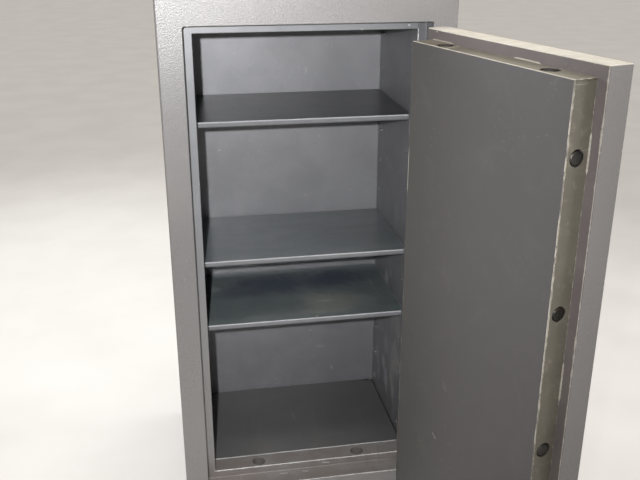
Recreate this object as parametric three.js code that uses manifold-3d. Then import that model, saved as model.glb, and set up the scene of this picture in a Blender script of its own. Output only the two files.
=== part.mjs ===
// Tall free-standing fire and security safe with an inset swing door, built as it is put together:
// welded casing, cast insulation, sheet liner with slotted walls and clips, loose floor panel, three
// lift-out shelves, folded door frame with bolt holes, two barrel hinges, and a door with a boltwork box
// behind it. Millimetres. Origin at the middle of the body's underside, +X to the hinge side,
// +Y into the safe, +Z up. The door stands open; its parts are drawn in the closed position inside a
// group that turns about the hinge axis.
import * as THREE from "three";
import { mergeVertices } from "three/addons/utils/BufferGeometryUtils.js";
import Module from "manifold-3d";

const wasm = await Module();
wasm.setup();

// ---------------------------------------------------------------- driving dimensions
const GAP = 0.3; // between touching pieces
const HALF_W = 325, DEPTH = 500, HEIGHT = 1300; // body
const Y0 = -DEPTH / 2, Y1 = DEPTH / 2; // front and back faces
const SKIN = 3; // casing and frame sheet
const REB_X = 270, REB_Z0 = 77, REB_Z1 = 1235, REB_D = 50; // rebate that the door sits in
const LIP = 20.5; // width of the stop flange
const RETURN_Y = -153; // rear edge of the frame's return
const OPEN_X = REB_X - LIP, OPEN_Z0 = REB_Z0 + LIP, OPEN_Z1 = REB_Z1 - LIP;
const STOP_Y = Y0 + REB_D; // face that the door closes against
const LINER_X = 262.5, LINER_T = 2, LINER_Y1 = 183.6, CEILING_Z = 1227;
const FLOOR_TOP = 100.5, FLOOR_T = 3;
const FILL_X = 268; // inner side of the side insulation

const SHELF_TOPS = [["top", 1010], ["middle", 665], ["lower", 493]];
const SHELF_HALF = 260, SHELF_Y0 = -146.5, SHELF_Y1 = 178, SHELF_LIP = 13, SHELF_T = 1.5;
const SLOT_PITCH = 86, SLOT_W = 20, SLOT_H = 5, SLOT_Y = [-116, 150];
const CLIP_W = 16, CLIP_T = 3;

const HINGE_X = 295.5, HINGE_Y = -270.5, OPEN_DEG = 104.3; // hinge axis and the angle that the door stands at
const KNUCKLE_R = 15, PIN_R = 7;
const HINGE_Z = [250, 1000]; // underside of each frame knuckle
const KNUCKLE_H = 46, ARM_H = 46;

const DOOR_X = 267.5, DOOR_Z0 = 80, DOOR_Z1 = 1231; // slab
const DOOR_Y0 = -252, DOOR_Y1 = -201; // outer and inner faces
const BOX_X = 245, BOX_Z0 = 103, BOX_Z1 = 1209, BOX_Y1 = -154; // boltwork box
const BOX_T = 3, COVER_T = 2;
const BOLT_Y = -177, BOLT_R = 13, HOLE_R = 17; // the bolts' throw is 20, and they are drawn back here
const SIDE_BOLT_Z = [240, 520, 800, 1080], TOP_BOLT_X = [-159, 159], LOW_BOLT_X = [-133, 133];
const DOG_Z = [330, 980];
const HANDLE_X = -150, HANDLE_Z = 690, LOCK_X = -150, LOCK_Z = 860;
const LEVER_DROP = 60; // degrees below level while the bolts are drawn back; level when they are thrown

// ---------------------------------------------------------------- materials
const paint = (c, r = 0.55, m = 0.1) => new THREE.MeshStandardMaterial({ color: c, roughness: r, metalness: m });
const HAMMER = 0x8f8c8b, FRAME = 0x74787d, INNER = 0x606468, DARK = 0x3f4244, SHELF = 0x4e5a5c, PANEL = 0x5b5b58;
const STEEL = 0x9aa0a6, CHROME = 0xc9ccce, FILL = 0xb9b4a8, BRASS = 0xb08d4f;

// ---------------------------------------------------------------- helpers
const root = new THREE.Group();
const bodyGroup = new THREE.Group();
const doorPivot = new THREE.Group(); // turns about the hinge axis
doorPivot.position.set(HINGE_X, HINGE_Y, 0);
doorPivot.rotation.z = THREE.MathUtils.degToRad(OPEN_DEG);
const doorGroup = new THREE.Group(); // holds closed-door coordinates
doorGroup.position.set(-HINGE_X, -HINGE_Y, 0);
doorPivot.add(doorGroup);
root.add(bodyGroup, doorPivot);

function put(group, name, geometry, material) {
  const mesh = new THREE.Mesh(geometry, material);
  mesh.name = name;
  group.add(mesh);
  return mesh;
}

function box(x0, x1, y0, y1, z0, z1) {
  const g = new THREE.BoxGeometry(x1 - x0, y1 - y0, z1 - z0);
  g.translate((x0 + x1) / 2, (y0 + y1) / 2, (z0 + z1) / 2);
  return g;
}

// a closed outline in (a, b) pushed along the third axis; plane "xy" goes along z, "xz" along y, "yz" along x
function prism(points, lo, hi, plane = "xy") {
  const shape = new THREE.Shape(points.map(([a, b]) => new THREE.Vector2(a, b)));
  const g = new THREE.ExtrudeGeometry(shape, { depth: hi - lo, bevelEnabled: false, curveSegments: 12 });
  g.translate(0, 0, lo);
  if (plane === "xz") {
    g.rotateX(Math.PI / 2); // (a, b, c) -> (a, -c, b)
    g.translate(0, lo + hi, 0);
  } else if (plane === "yz") {
    g.applyMatrix4(new THREE.Matrix4().set(0, 0, 1, 0, 1, 0, 0, 0, 0, 1, 0, 0, 0, 0, 0, 1)); // (a, b, c) -> (c, a, b)
  }
  return g;
}

function ring(a, b, r, n = 24) {
  return Array.from({ length: n }, (_, i) => [a + r * Math.cos((2 * Math.PI * i) / n), b + r * Math.sin((2 * Math.PI * i) / n)]);
}

function rod(r, lo, hi, axis, a, b, n = 24) {
  const g = new THREE.CylinderGeometry(r, r, hi - lo, n);
  if (axis === "x") g.rotateZ(Math.PI / 2).translate((lo + hi) / 2, a, b);
  if (axis === "y") g.translate(a, (lo + hi) / 2, b);
  if (axis === "z") g.rotateX(Math.PI / 2).translate(a, b, (lo + hi) / 2);
  return g;
}

// round bar along axis with eased ends
function bolt(r, lo, hi, axis, a, b, n = 24) {
  const e = 2;
  const pts = [[0, 0], [r - e, 0], [r, e], [r, hi - lo - e], [r - e, hi - lo], [0, hi - lo]].map(([p, q]) => new THREE.Vector2(p, q));
  const g = new THREE.LatheGeometry(pts, n); // axis +Y from 0
  if (axis === "x") g.rotateZ(-Math.PI / 2).translate(lo, a, b);
  if (axis === "y") g.translate(a, lo, b);
  if (axis === "z") g.rotateX(Math.PI / 2).translate(a, b, lo);
  return g;
}

function solid(geometry) {
  const g = (geometry.index ? geometry.toNonIndexed() : geometry.clone());
  g.deleteAttribute("normal");
  if (g.getAttribute("uv")) g.deleteAttribute("uv");
  const m = mergeVertices(g, 1e-4);
  return new wasm.Manifold(new wasm.Mesh({ numProp: 3, vertProperties: new Float32Array(m.attributes.position.array), triVerts: new Uint32Array(m.index.array) }));
}

function geometryOf(manifold) {
  const m = manifold.getMesh();
  const g = new THREE.BufferGeometry();
  g.setAttribute("position", new THREE.BufferAttribute(new Float32Array(m.vertProperties), 3));
  g.setIndex(new THREE.BufferAttribute(new Uint32Array(m.triVerts), 1));
  g.computeVertexNormals();
  return g;
}

const join = (...list) => geometryOf(list.map(solid).reduce((a, b) => a.add(b)));
const cut = (base, ...tools) => geometryOf(tools.map(solid).reduce((a, b) => a.subtract(b), solid(base)));

// ---------------------------------------------------------------- casing
put(bodyGroup, "casing_left", box(-HALF_W, -HALF_W + SKIN, Y0 + SKIN + GAP, Y1, 0, HEIGHT), paint(HAMMER));
put(bodyGroup, "casing_right", box(HALF_W - SKIN, HALF_W, Y0 + SKIN + GAP, Y1, 0, HEIGHT), paint(HAMMER));
const inX = HALF_W - SKIN - GAP;
put(bodyGroup, "casing_top", box(-inX, inX, Y0 + SKIN + GAP, Y1, HEIGHT - SKIN, HEIGHT), paint(HAMMER));
put(bodyGroup, "casing_bottom", box(-inX, inX, Y0 + SKIN + GAP, Y1, 0, SKIN), paint(HAMMER));
put(bodyGroup, "casing_back", box(-inX, inX, Y1 - SKIN, Y1, SKIN + GAP, HEIGHT - SKIN - GAP), paint(HAMMER));

// ---------------------------------------------------------------- cast insulation
const inY0 = STOP_Y + SKIN + GAP, inY1 = Y1 - SKIN - GAP;
const backY = LINER_Y1 + LINER_T + GAP;
put(bodyGroup, "insulation_left", box(-inX, -FILL_X, inY0, backY - GAP, OPEN_Z0, CEILING_Z + LINER_T), paint(FILL, 0.95, 0));
put(bodyGroup, "insulation_right", box(FILL_X, inX, inY0, backY - GAP, OPEN_Z0, CEILING_Z + LINER_T), paint(FILL, 0.95, 0));
// pockets for the top and bottom bolts
const topPockets = TOP_BOLT_X.map((x) => rod(HOLE_R + 1, 1200, 1245, "z", x, BOLT_Y));
const lowPockets = LOW_BOLT_X.map((x) => rod(HOLE_R + 1, 70, 110, "z", x, BOLT_Y));
put(bodyGroup, "insulation_top", cut(box(-inX, inX, inY0, inY1, CEILING_Z + LINER_T + GAP, HEIGHT - SKIN - GAP), ...topPockets), paint(FILL, 0.95, 0));
put(bodyGroup, "insulation_bottom", cut(box(-inX, inX, inY0, inY1, SKIN + GAP, OPEN_Z0 - SKIN - GAP), ...lowPockets), paint(FILL, 0.95, 0));
put(bodyGroup, "insulation_back", box(-inX, inX, backY, inY1, OPEN_Z0, CEILING_Z + LINER_T), paint(FILL, 0.95, 0));

// ---------------------------------------------------------------- liner
const slotRows = [];
for (const y of SLOT_Y)
  for (let k = 0; k < 13; k++) {
    const z = SHELF_TOPS[0][1] - SHELF_LIP - 2 + 2 * SLOT_PITCH - k * SLOT_PITCH; // in step with the shelves
    if (z > FLOOR_TOP + 20 && z < CEILING_Z - 12) slotRows.push([y, z]);
  }
const wallZ0 = OPEN_Z0, wallZ1 = CEILING_Z - GAP;
const wallY0 = RETURN_Y + GAP, wallY1 = LINER_Y1 - GAP;
for (const [name, s] of [["liner_left", -1], ["liner_right", 1]]) {
  const lo = s < 0 ? -LINER_X - LINER_T : LINER_X;
  const slots = slotRows.map(([y, z]) => box(lo - 2, lo + LINER_T + 2, y - SLOT_W / 2, y + SLOT_W / 2, z - SLOT_H / 2, z + SLOT_H / 2));
  put(bodyGroup, name, cut(box(lo, lo + LINER_T, wallY0, wallY1, wallZ0, wallZ1), ...slots), paint(INNER));
}
put(bodyGroup, "liner_top", box(-LINER_X - LINER_T, LINER_X + LINER_T, wallY0, LINER_Y1 + LINER_T, CEILING_Z, CEILING_Z + LINER_T), paint(INNER));
put(bodyGroup, "liner_back", box(-LINER_X - LINER_T, LINER_X + LINER_T, LINER_Y1, LINER_Y1 + LINER_T, wallZ0, CEILING_Z - GAP), paint(INNER));
// loose floor panel, a little narrower than the space, with one corner nicked
put(bodyGroup, "floor_panel", prism([[-260.5, wallY0], [258.5, wallY0], [258.5, 168], [252, 168], [252, 180.5], [-260.5, 180.5]], FLOOR_TOP - FLOOR_T, FLOOR_TOP), paint(DARK));

// ---------------------------------------------------------------- door frame: four folded members, mitred
// profile in (u, y): u runs outwards from the rebate's edge
function frameProfile(face, ret) {
  return [[face, Y0], [face, Y0 + SKIN], [SKIN, Y0 + SKIN], [SKIN, STOP_Y + SKIN], [-LIP + SKIN, STOP_Y + SKIN], [-LIP + SKIN, ret],
    [-LIP, ret], [-LIP, STOP_Y], [0, STOP_Y], [0, Y0]];
}
const M = GAP / 2; // half the mitre gap
function wedge(points) { return prism(points, Y0 - 20, 0, "xz"); } // cutter in (x, z), along y
const BIG = 400;
// corners of the rebate, and the mitre lines through them at 45 degrees
const sideFace = HALF_W - REB_X;
for (const [name, s] of [["frame_lock_side", -1], ["frame_hinge_side", 1]]) {
  const pts = frameProfile(sideFace, RETURN_Y).map(([u, y]) => [s * (REB_X + u), y]);
  let g = prism(s > 0 ? pts : pts.reverse(), 0, HEIGHT, "xy");
  const top = wedge([[s * (REB_X - 60), REB_Z1 - 60 - M * 1.42], [s * (REB_X + BIG), REB_Z1 + BIG - M * 1.42], [s * (REB_X - 60), REB_Z1 + BIG]]);
  const low = wedge([[s * (REB_X - 60), REB_Z0 + 60 + M * 1.42], [s * (REB_X + BIG), REB_Z0 - BIG + M * 1.42], [s * (REB_X - 60), REB_Z0 - BIG]]);
  const holes = s < 0
    ? SIDE_BOLT_Z.map((z) => rod(HOLE_R - 2, -OPEN_X - 8, -OPEN_X + 8, "x", BOLT_Y, z))
    : DOG_Z.map((z) => box(OPEN_X - 8, OPEN_X + 8, BOLT_Y - 17, BOLT_Y + 17, z - 20, z + 20));
  put(bodyGroup, name, cut(g, top, low, ...holes), paint(HAMMER));
}
for (const [name, s] of [["frame_head", 1], ["frame_sill", -1]]) {
  const face = s > 0 ? HEIGHT - REB_Z1 : REB_Z0;
  const edge = s > 0 ? REB_Z1 : REB_Z0;
  const pts = frameProfile(face, RETURN_Y).map(([u, y]) => [y, edge + s * u]);
  let g = prism(s > 0 ? pts.reverse() : pts, -HALF_W, HALF_W, "yz");
  const cuts = [-1, 1].map((t) => wedge([[t * (REB_X - 60 - M * 1.42), edge - s * 60], [t * (REB_X + BIG - M * 1.42), edge + s * BIG], [t * (REB_X + BIG), edge - s * 60]]));
  const xs = s > 0 ? TOP_BOLT_X : LOW_BOLT_X;
  const holes = xs.map((x) => rod(HOLE_R, edge - s * LIP - 8, edge - s * LIP + 8, "z", x, BOLT_Y));
  put(bodyGroup, name, cut(g, ...cuts, ...holes), paint(HAMMER));
}

// ---------------------------------------------------------------- shelf clips and shelves
for (const [which, top] of SHELF_TOPS) {
  for (const [side, s] of [["left", -1], ["right", 1]])
    for (const [row, y] of [["front", SLOT_Y[0]], ["rear", SLOT_Y[1]]]) {
      const zt = top - SHELF_LIP - GAP; // underside of the shelf
      const wall = LINER_X - GAP;
      // tongue under the shelf, hook through the slot, leg down the wall
      const pts = [[wall - 18, zt - CLIP_T + 0.5], [wall - 18, zt], [LINER_X + LINER_T + 2.5, zt], [LINER_X + LINER_T + 2.5, zt - CLIP_T],
        [wall, zt - CLIP_T], [wall, zt - 16], [wall - 2.5, zt - 16], [wall - 2.5, zt - CLIP_T - 4], [wall - 6, zt - CLIP_T]]
        .map(([x, z]) => [s * x, z]);
      put(bodyGroup, `clip_${which}_${side}_${row}`, prism(s > 0 ? pts.reverse() : pts, y - CLIP_W / 2, y + CLIP_W / 2, "xz"), paint(STEEL, 0.35, 0.8));
    }
  // pan-folded shelf: flat top, front and rear lips turned down and back, side lips turned down
  const zt = top, zb = top - SHELF_LIP, t = SHELF_T;
  const section = [[SHELF_Y0 + 1, zt], [SHELF_Y1, zt], [SHELF_Y1, zb], [SHELF_Y1 - 12, zb], [SHELF_Y1 - 12, zb + t], [SHELF_Y1 - t, zb + t], [SHELF_Y1 - t, zt - t],
    [SHELF_Y0 + t, zt - t], [SHELF_Y0 + t, zb + t], [SHELF_Y0 + 14, zb + t], [SHELF_Y0 + 14, zb], [SHELF_Y0 + 1, zb], [SHELF_Y0, zb + 1], [SHELF_Y0, zt - 1]];
  const pan = prism(section.reverse(), -SHELF_HALF, SHELF_HALF, "yz");
  const sideL = box(-SHELF_HALF, -SHELF_HALF + t, SHELF_Y0 + t / 2, SHELF_Y1 - t / 2, zb, zt - t / 2);
  const sideR = box(SHELF_HALF - t, SHELF_HALF, SHELF_Y0 + t / 2, SHELF_Y1 - t / 2, zb, zt - t / 2);
  put(bodyGroup, `shelf_${which}`, join(pan, sideL, sideR), paint(SHELF, 0.35, 0.3));
}

// ---------------------------------------------------------------- hinges
// frame half: knuckle with a welded foot on the frame face; the pin stands up out of it
HINGE_Z.forEach((z, i) => {
  const which = i ? "upper" : "lower";
  const foot = box(HINGE_X - 11, HINGE_X + 11, HINGE_Y, Y0 - GAP, z, z + KNUCKLE_H);
  put(bodyGroup, `hinge_knuckle_${which}`, cut(join(rod(KNUCKLE_R, z, z + KNUCKLE_H, "z", HINGE_X, HINGE_Y, 32), foot), rod(PIN_R + GAP, z + 10, z + KNUCKLE_H + 1, "z", HINGE_X, HINGE_Y, 32)), paint(HAMMER));
  put(bodyGroup, `hinge_pin_${which}`, bolt(PIN_R, z + 10 + GAP, z + KNUCKLE_H + ARM_H - 12, "z", HINGE_X, HINGE_Y, 32), paint(STEEL, 0.3, 0.9));
  // door half: barrel over the pin and an arm welded to the door's outer face
  const a0 = z + KNUCKLE_H + 1, a1 = z + KNUCKLE_H + ARM_H;
  const barrel = rod(KNUCKLE_R, a0, a1, "z", HINGE_X, HINGE_Y, 32);
  const arm = prism([[HINGE_X, HINGE_Y - KNUCKLE_R], [HINGE_X, HINGE_Y + 8], [HINGE_X - 24, DOOR_Y0 - GAP], [HINGE_X - 122, DOOR_Y0 - GAP], [HINGE_X - 126, DOOR_Y0 - 4], [HINGE_X - 122, DOOR_Y0 - 9], [HINGE_X - 30, HINGE_Y - KNUCKLE_R + 4]].reverse(), a0, a1);
  put(doorGroup, `hinge_arm_${which}`, cut(join(barrel, arm), rod(PIN_R + GAP, a0 - 1, a1 - 10, "z", HINGE_X, HINGE_Y, 32)), paint(HAMMER));
});

// ---------------------------------------------------------------- door slab
// plan outline, hinge edge rounded; r steps round the two outer corners
const slabPlan = (() => {
  const p = [[-DOOR_X, DOOR_Y1], [-DOOR_X, DOOR_Y0 + 4]];
  for (let i = 1; i <= 4; i++) { const a = Math.PI + (i / 4) * (Math.PI / 2); p.push([-DOOR_X + 4 + 4 * Math.cos(a), DOOR_Y0 + 4 + 4 * Math.sin(a)]); }
  const hx = DOOR_X; // hinge edge: quarter-ellipse out to the front, short ease at the back
  for (let i = 0; i <= 8; i++) { const a = -Math.PI / 2 + (i / 8) * (Math.PI / 2); p.push([hx - 13 + 13 * Math.cos(a), DOOR_Y0 + 20 + 20 * Math.sin(a)]); }
  p.push([hx, DOOR_Y0 + 30], [hx - 2, DOOR_Y1 - 8], [hx - 5, DOOR_Y1]);
  return p;
})();
const slabShell = prism(slabPlan, DOOR_Z0, DOOR_Z1, "xy");
// hollow of the pan, open to the back
const hollowPlan = [[-DOOR_X + SKIN, DOOR_Y1 + 5], [-DOOR_X + SKIN, DOOR_Y0 + SKIN + 1], [-DOOR_X + SKIN + 1, DOOR_Y0 + SKIN], [DOOR_X - 16, DOOR_Y0 + SKIN], [DOOR_X - 6, DOOR_Y0 + 12], [DOOR_X - 4, DOOR_Y0 + 24], [DOOR_X - 8, DOOR_Y1 + 5]];
const hollow = prism(hollowPlan, DOOR_Z0 + SKIN, DOOR_Z1 - SKIN, "xy");
put(doorGroup, "door_skin", cut(slabShell, hollow), paint(HAMMER));
const fillPlan = [[-DOOR_X + SKIN + GAP, DOOR_Y1 - SKIN - GAP], [-DOOR_X + SKIN + GAP, DOOR_Y0 + SKIN + 1 + GAP], [-DOOR_X + SKIN + 1 + GAP, DOOR_Y0 + SKIN + GAP], [DOOR_X - 16 - GAP, DOOR_Y0 + SKIN + GAP], [DOOR_X - 6.6, DOOR_Y0 + 12.4], [DOOR_X - 4.6, DOOR_Y0 + 24], [DOOR_X - 8 - GAP, DOOR_Y1 - SKIN - GAP]];
const spindleHole = (r) => rod(r, DOOR_Y0 - 20, BOX_Y1 + 20, "y", HANDLE_X, HANDLE_Z);
const keyHole = (r) => rod(r, DOOR_Y0 - 20, DOOR_Y1 + 1, "y", LOCK_X, LOCK_Z);
put(doorGroup, "door_filling", cut(prism(fillPlan, DOOR_Z0 + SKIN + GAP, DOOR_Z1 - SKIN - GAP), spindleHole(12), keyHole(9)), paint(FILL, 0.95, 0));
doorGroup.children.find((m) => m.name === "door_skin").geometry = cut(doorGroup.children.find((m) => m.name === "door_skin").geometry, spindleHole(12), keyHole(7));
put(doorGroup, "door_back_plate", cut(box(-DOOR_X + SKIN + GAP, DOOR_X - 9, DOOR_Y1 - SKIN, DOOR_Y1, DOOR_Z0 + SKIN + GAP, DOOR_Z1 - SKIN - GAP), spindleHole(12), keyHole(9)), paint(FRAME));

// ---------------------------------------------------------------- boltwork box: four strips and a cover
const stripY0 = DOOR_Y1 + GAP, stripY1 = BOX_Y1 - COVER_T - GAP;
const topHoles = TOP_BOLT_X.map((x) => rod(BOLT_R + 2, BOX_Z1 - 10, BOX_Z1 + 5, "z", x, BOLT_Y));
const lowHoles = LOW_BOLT_X.map((x) => rod(BOLT_R + 2, BOX_Z0 - 5, BOX_Z0 + 10, "z", x, BOLT_Y));
const sideHoles = SIDE_BOLT_Z.map((z) => rod(BOLT_R + 2, -BOX_X - 5, -BOX_X + 10, "x", BOLT_Y, z));
put(doorGroup, "boltwork_strip_top", cut(box(-BOX_X, BOX_X, stripY0, stripY1, BOX_Z1 - BOX_T, BOX_Z1), ...topHoles), paint(FRAME));
put(doorGroup, "boltwork_strip_bottom", cut(box(-BOX_X, BOX_X, stripY0, stripY1, BOX_Z0, BOX_Z0 + BOX_T), ...lowHoles), paint(FRAME));
put(doorGroup, "boltwork_strip_lock_side", cut(box(-BOX_X, -BOX_X + BOX_T, stripY0, stripY1, BOX_Z0 + BOX_T + GAP, BOX_Z1 - BOX_T - GAP), ...sideHoles), paint(FRAME));
put(doorGroup, "boltwork_strip_hinge_side", box(BOX_X - BOX_T, BOX_X, stripY0, stripY1, BOX_Z0 + BOX_T + GAP, BOX_Z1 - BOX_T - GAP), paint(FRAME));
put(doorGroup, "cover_panel", box(-BOX_X, BOX_X, BOX_Y1 - COVER_T, BOX_Y1, BOX_Z0, BOX_Z1), paint(PANEL, 0.5, 0.1));

// fixed dog bar on the hinge side: a flat bar with two noses that enter the frame
const dogBar = box(BOX_X + GAP, BOX_X + GAP + 2.4, stripY0 + 8, stripY1 - 8, 200, 1110);
const dogNoses = DOG_Z.map((z) => box(BOX_X + GAP + 1, BOX_X + 17, BOLT_Y - 8, BOLT_Y + 8, z - 14, z + 14));
put(doorGroup, "dog_bar", join(dogBar, ...dogNoses), paint(STEEL, 0.35, 0.8));

// ---------------------------------------------------------------- boltwork (bolts drawn back)
// side bar with four bolts
{
  const bar = box(-220, -197, BOLT_Y + 6, BOLT_Y + 12, 200, 1120);
  const bolts = SIDE_BOLT_Z.map((z) => bolt(BOLT_R, -BOX_X - 0.5, -199, "x", BOLT_Y, z));
  put(doorGroup, "bolt_bar_side", join(bar, ...bolts), paint(STEEL, 0.3, 0.85));
}
// top and bottom bars: a T of a cross bar with two bolts and a centre rail
{
  const cross = box(-186, 186, BOLT_Y - 14, BOLT_Y - 9, 1152, 1180);
  const rail = box(-112, -94, BOLT_Y - 14, BOLT_Y - 9, 760, 1160);
  const bolts = TOP_BOLT_X.map((x) => bolt(BOLT_R, 1150, BOX_Z1 + 0.5, "z", x, BOLT_Y));
  put(doorGroup, "bolt_bar_top", join(cross, rail, ...bolts), paint(STEEL, 0.3, 0.85));
}
{
  const cross = box(-160, 160, BOLT_Y - 14, BOLT_Y - 9, 132, 160);
  const rail = box(-112, -94, BOLT_Y - 14, BOLT_Y - 9, 155, 620);
  const bolts = LOW_BOLT_X.map((x) => bolt(BOLT_R, BOX_Z0 - 0.5, 162, "z", x, BOLT_Y));
  put(doorGroup, "bolt_bar_bottom", join(cross, rail, ...bolts), paint(STEEL, 0.3, 0.85));
}
// handle: lever, hub and spindle in one forging; rose fixed to the door; cam on the spindle's inner end
{
  const hub = rod(19, DOOR_Y0 - 34, DOOR_Y0 - 12, "y", HANDLE_X, HANDLE_Z, 32);
  const spindle = rod(8, DOOR_Y0 - 14, -174, "y", HANDLE_X, HANDLE_Z, 24);
  // lever reaches towards the hinge side, swept slightly outwards, with a rounded grip
  const path = new THREE.CatmullRomCurve3([[0, -24, 0], [34, -30, 0], [80, -40, 0], [128, -42, 0]].map(([x, y, z]) => new THREE.Vector3(HANDLE_X + x, DOOR_Y0 + y, HANDLE_Z + z)));
  const oval = new THREE.Shape(Array.from({ length: 16 }, (_, i) => new THREE.Vector2(8 * Math.cos((Math.PI * i) / 8), 12 * Math.sin((Math.PI * i) / 8))));
  const grip = new THREE.ExtrudeGeometry(oval, { steps: 14, extrudePath: path });
  const knob = new THREE.SphereGeometry(12.5, 20, 12).translate(HANDLE_X + 128, DOOR_Y0 - 42, HANDLE_Z);
  for (const g of [grip, knob]) g.translate(-HANDLE_X, 0, -HANDLE_Z).rotateY(THREE.MathUtils.degToRad(LEVER_DROP)).translate(HANDLE_X, 0, HANDLE_Z);
  put(doorGroup, "handle_lever", join(hub, spindle, grip, knob), paint(CHROME, 0.2, 1));
  const rose = new THREE.LatheGeometry([[11, 0], [30, 0], [30, 3], [26, 7], [20.5, 10.5], [11, 10.5], [11, 0]].map(([a, b]) => new THREE.Vector2(a, b)), 36);
  rose.rotateX(Math.PI).translate(HANDLE_X, DOOR_Y0 - GAP, HANDLE_Z);
  put(doorGroup, "handle_rose", rose, paint(CHROME, 0.25, 1));
  const cam = join(rod(34, DOOR_Y1 + 4, DOOR_Y1 + 9, "y", HANDLE_X, HANDLE_Z, 36), rod(15, DOOR_Y1 + 1, DOOR_Y1 + 14, "y", HANDLE_X, HANDLE_Z, 24));
  put(doorGroup, "drive_cam", cut(cam, rod(8 + GAP, -210, -160, "y", HANDLE_X, HANDLE_Z)), paint(STEEL, 0.35, 0.8));
}
// key lock: case behind the back plate, barrel that the key turns, bolt that slides out of the case, keyhole plate and its swinging cover
{
  const lx = LOCK_X, lz = LOCK_Z, y0 = DOOR_Y1 + GAP;
  const shell = box(lx - 34, lx + 34, y0, y0 + 24, lz - 46, lz + 46);
  const cavity = box(lx - 31, lx + 31, y0 + 3, y0 + 21, lz - 43, lz + 43);
  const mouth = box(lx - 11, lx + 11, y0 + 6, y0 + 18, lz - 50, lz);
  put(doorGroup, "lock_case", cut(shell, cavity, mouth, rod(8.2, y0 - 5, y0 + 12, "y", lx, lz)), paint(BRASS, 0.4, 0.8));
  put(doorGroup, "lock_bolt", box(lx - 10.5, lx + 10.5, y0 + 6.5, y0 + 17.5, lz - 46.5, lz - 14), paint(BRASS, 0.3, 0.9));
  const barrel = cut(join(rod(6, DOOR_Y0 + 4, y0 + 12, "y", lx, lz, 24), rod(11, y0 + 7, y0 + 16, "y", lx, lz, 24)), box(lx - 1.5, lx + 1.5, DOOR_Y0, y0 + 2, lz - 5, lz + 9));
  put(doorGroup, "lock_barrel", barrel, paint(BRASS, 0.3, 0.9));
  const plateOutline = ring(lx, lz, 21, 32);
  put(doorGroup, "keyhole_plate", cut(prism(plateOutline, DOOR_Y0 - GAP - 3, DOOR_Y0 - GAP, "xz"), rod(5.5, DOOR_Y0 - 20, DOOR_Y0 + 5, "y", lx, lz), box(lx - 2, lx + 2, DOOR_Y0 - 20, DOOR_Y0 + 5, lz - 12, lz)), paint(CHROME, 0.25, 1));
  // cover hangs from its rivet above the keyhole
  const yC = DOOR_Y0 - GAP - 3 - GAP;
  const drop = [];
  for (let i = 0; i <= 12; i++) { const a = (Math.PI * i) / 12; drop.push([lx + 7 * Math.cos(a), lz + 14 + 7 * Math.sin(a)]); }
  for (let i = 0; i <= 16; i++) { const a = Math.PI + (Math.PI * i) / 16; drop.push([lx + 13 * Math.cos(a), lz - 4 + 13 * Math.sin(a)]); }
  const cover = join(prism(drop, yC - 3, yC, "xz"), rod(4, yC - 5, yC - 2, "y", lx, lz + 14, 20));
  put(doorGroup, "keyhole_cover", cover, paint(CHROME, 0.25, 1));
}

export default root;
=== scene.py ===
import math
import random

import bmesh
import bpy
import numpy as np
from mathutils import Matrix, Vector


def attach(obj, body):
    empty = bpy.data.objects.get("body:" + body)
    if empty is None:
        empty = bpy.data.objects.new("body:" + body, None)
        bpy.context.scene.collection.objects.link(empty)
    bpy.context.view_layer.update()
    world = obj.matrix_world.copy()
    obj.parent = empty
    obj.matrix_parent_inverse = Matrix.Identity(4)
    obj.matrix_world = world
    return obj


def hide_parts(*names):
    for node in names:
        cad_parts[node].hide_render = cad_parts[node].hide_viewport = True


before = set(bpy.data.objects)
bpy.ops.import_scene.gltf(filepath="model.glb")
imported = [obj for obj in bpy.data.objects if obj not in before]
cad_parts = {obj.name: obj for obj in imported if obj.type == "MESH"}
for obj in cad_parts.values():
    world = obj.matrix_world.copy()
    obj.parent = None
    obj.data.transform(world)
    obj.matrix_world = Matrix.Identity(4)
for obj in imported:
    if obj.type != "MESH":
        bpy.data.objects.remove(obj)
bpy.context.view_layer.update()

scene = bpy.context.scene
coll = scene.collection
rng = random.Random(7)

# ------------------------------------------------------------------ frame of reference
THETA = math.radians(104.3)
PIVOT = Vector((0.2955, -0.2705, 0.0))


def opened(p):
    """A point of the closed door, in metres, where it is with the door standing open."""
    d = Vector(p) - PIVOT
    c, s = math.cos(THETA), math.sin(THETA)
    return Vector((PIVOT.x + d.x * c - d.y * s, PIVOT.y + d.x * s + d.y * c, p[2]))


# ------------------------------------------------------------------ camera first
cam_data = bpy.data.cameras.new("camera")
cam = bpy.data.objects.new("camera", cam_data)
coll.objects.link(cam)
yaw, pitch = math.radians(10.21), math.radians(21.08)
fwd = Vector((math.sin(yaw) * math.cos(pitch), math.cos(yaw) * math.cos(pitch), -math.sin(pitch)))
cam.location = (-0.2990, -2.0142, 1.4364)
cam.rotation_mode = "QUATERNION"
cam.rotation_quaternion = fwd.to_track_quat("-Z", "Y")
cam_data.sensor_width = 36.0
cam_data.lens = 824.77 / 640 * 36.0
cam_data.clip_start, cam_data.clip_end = 0.05, 120
scene.camera = cam
scene.view_settings.view_transform = "Standard"
scene.view_settings.look = "None"


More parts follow.
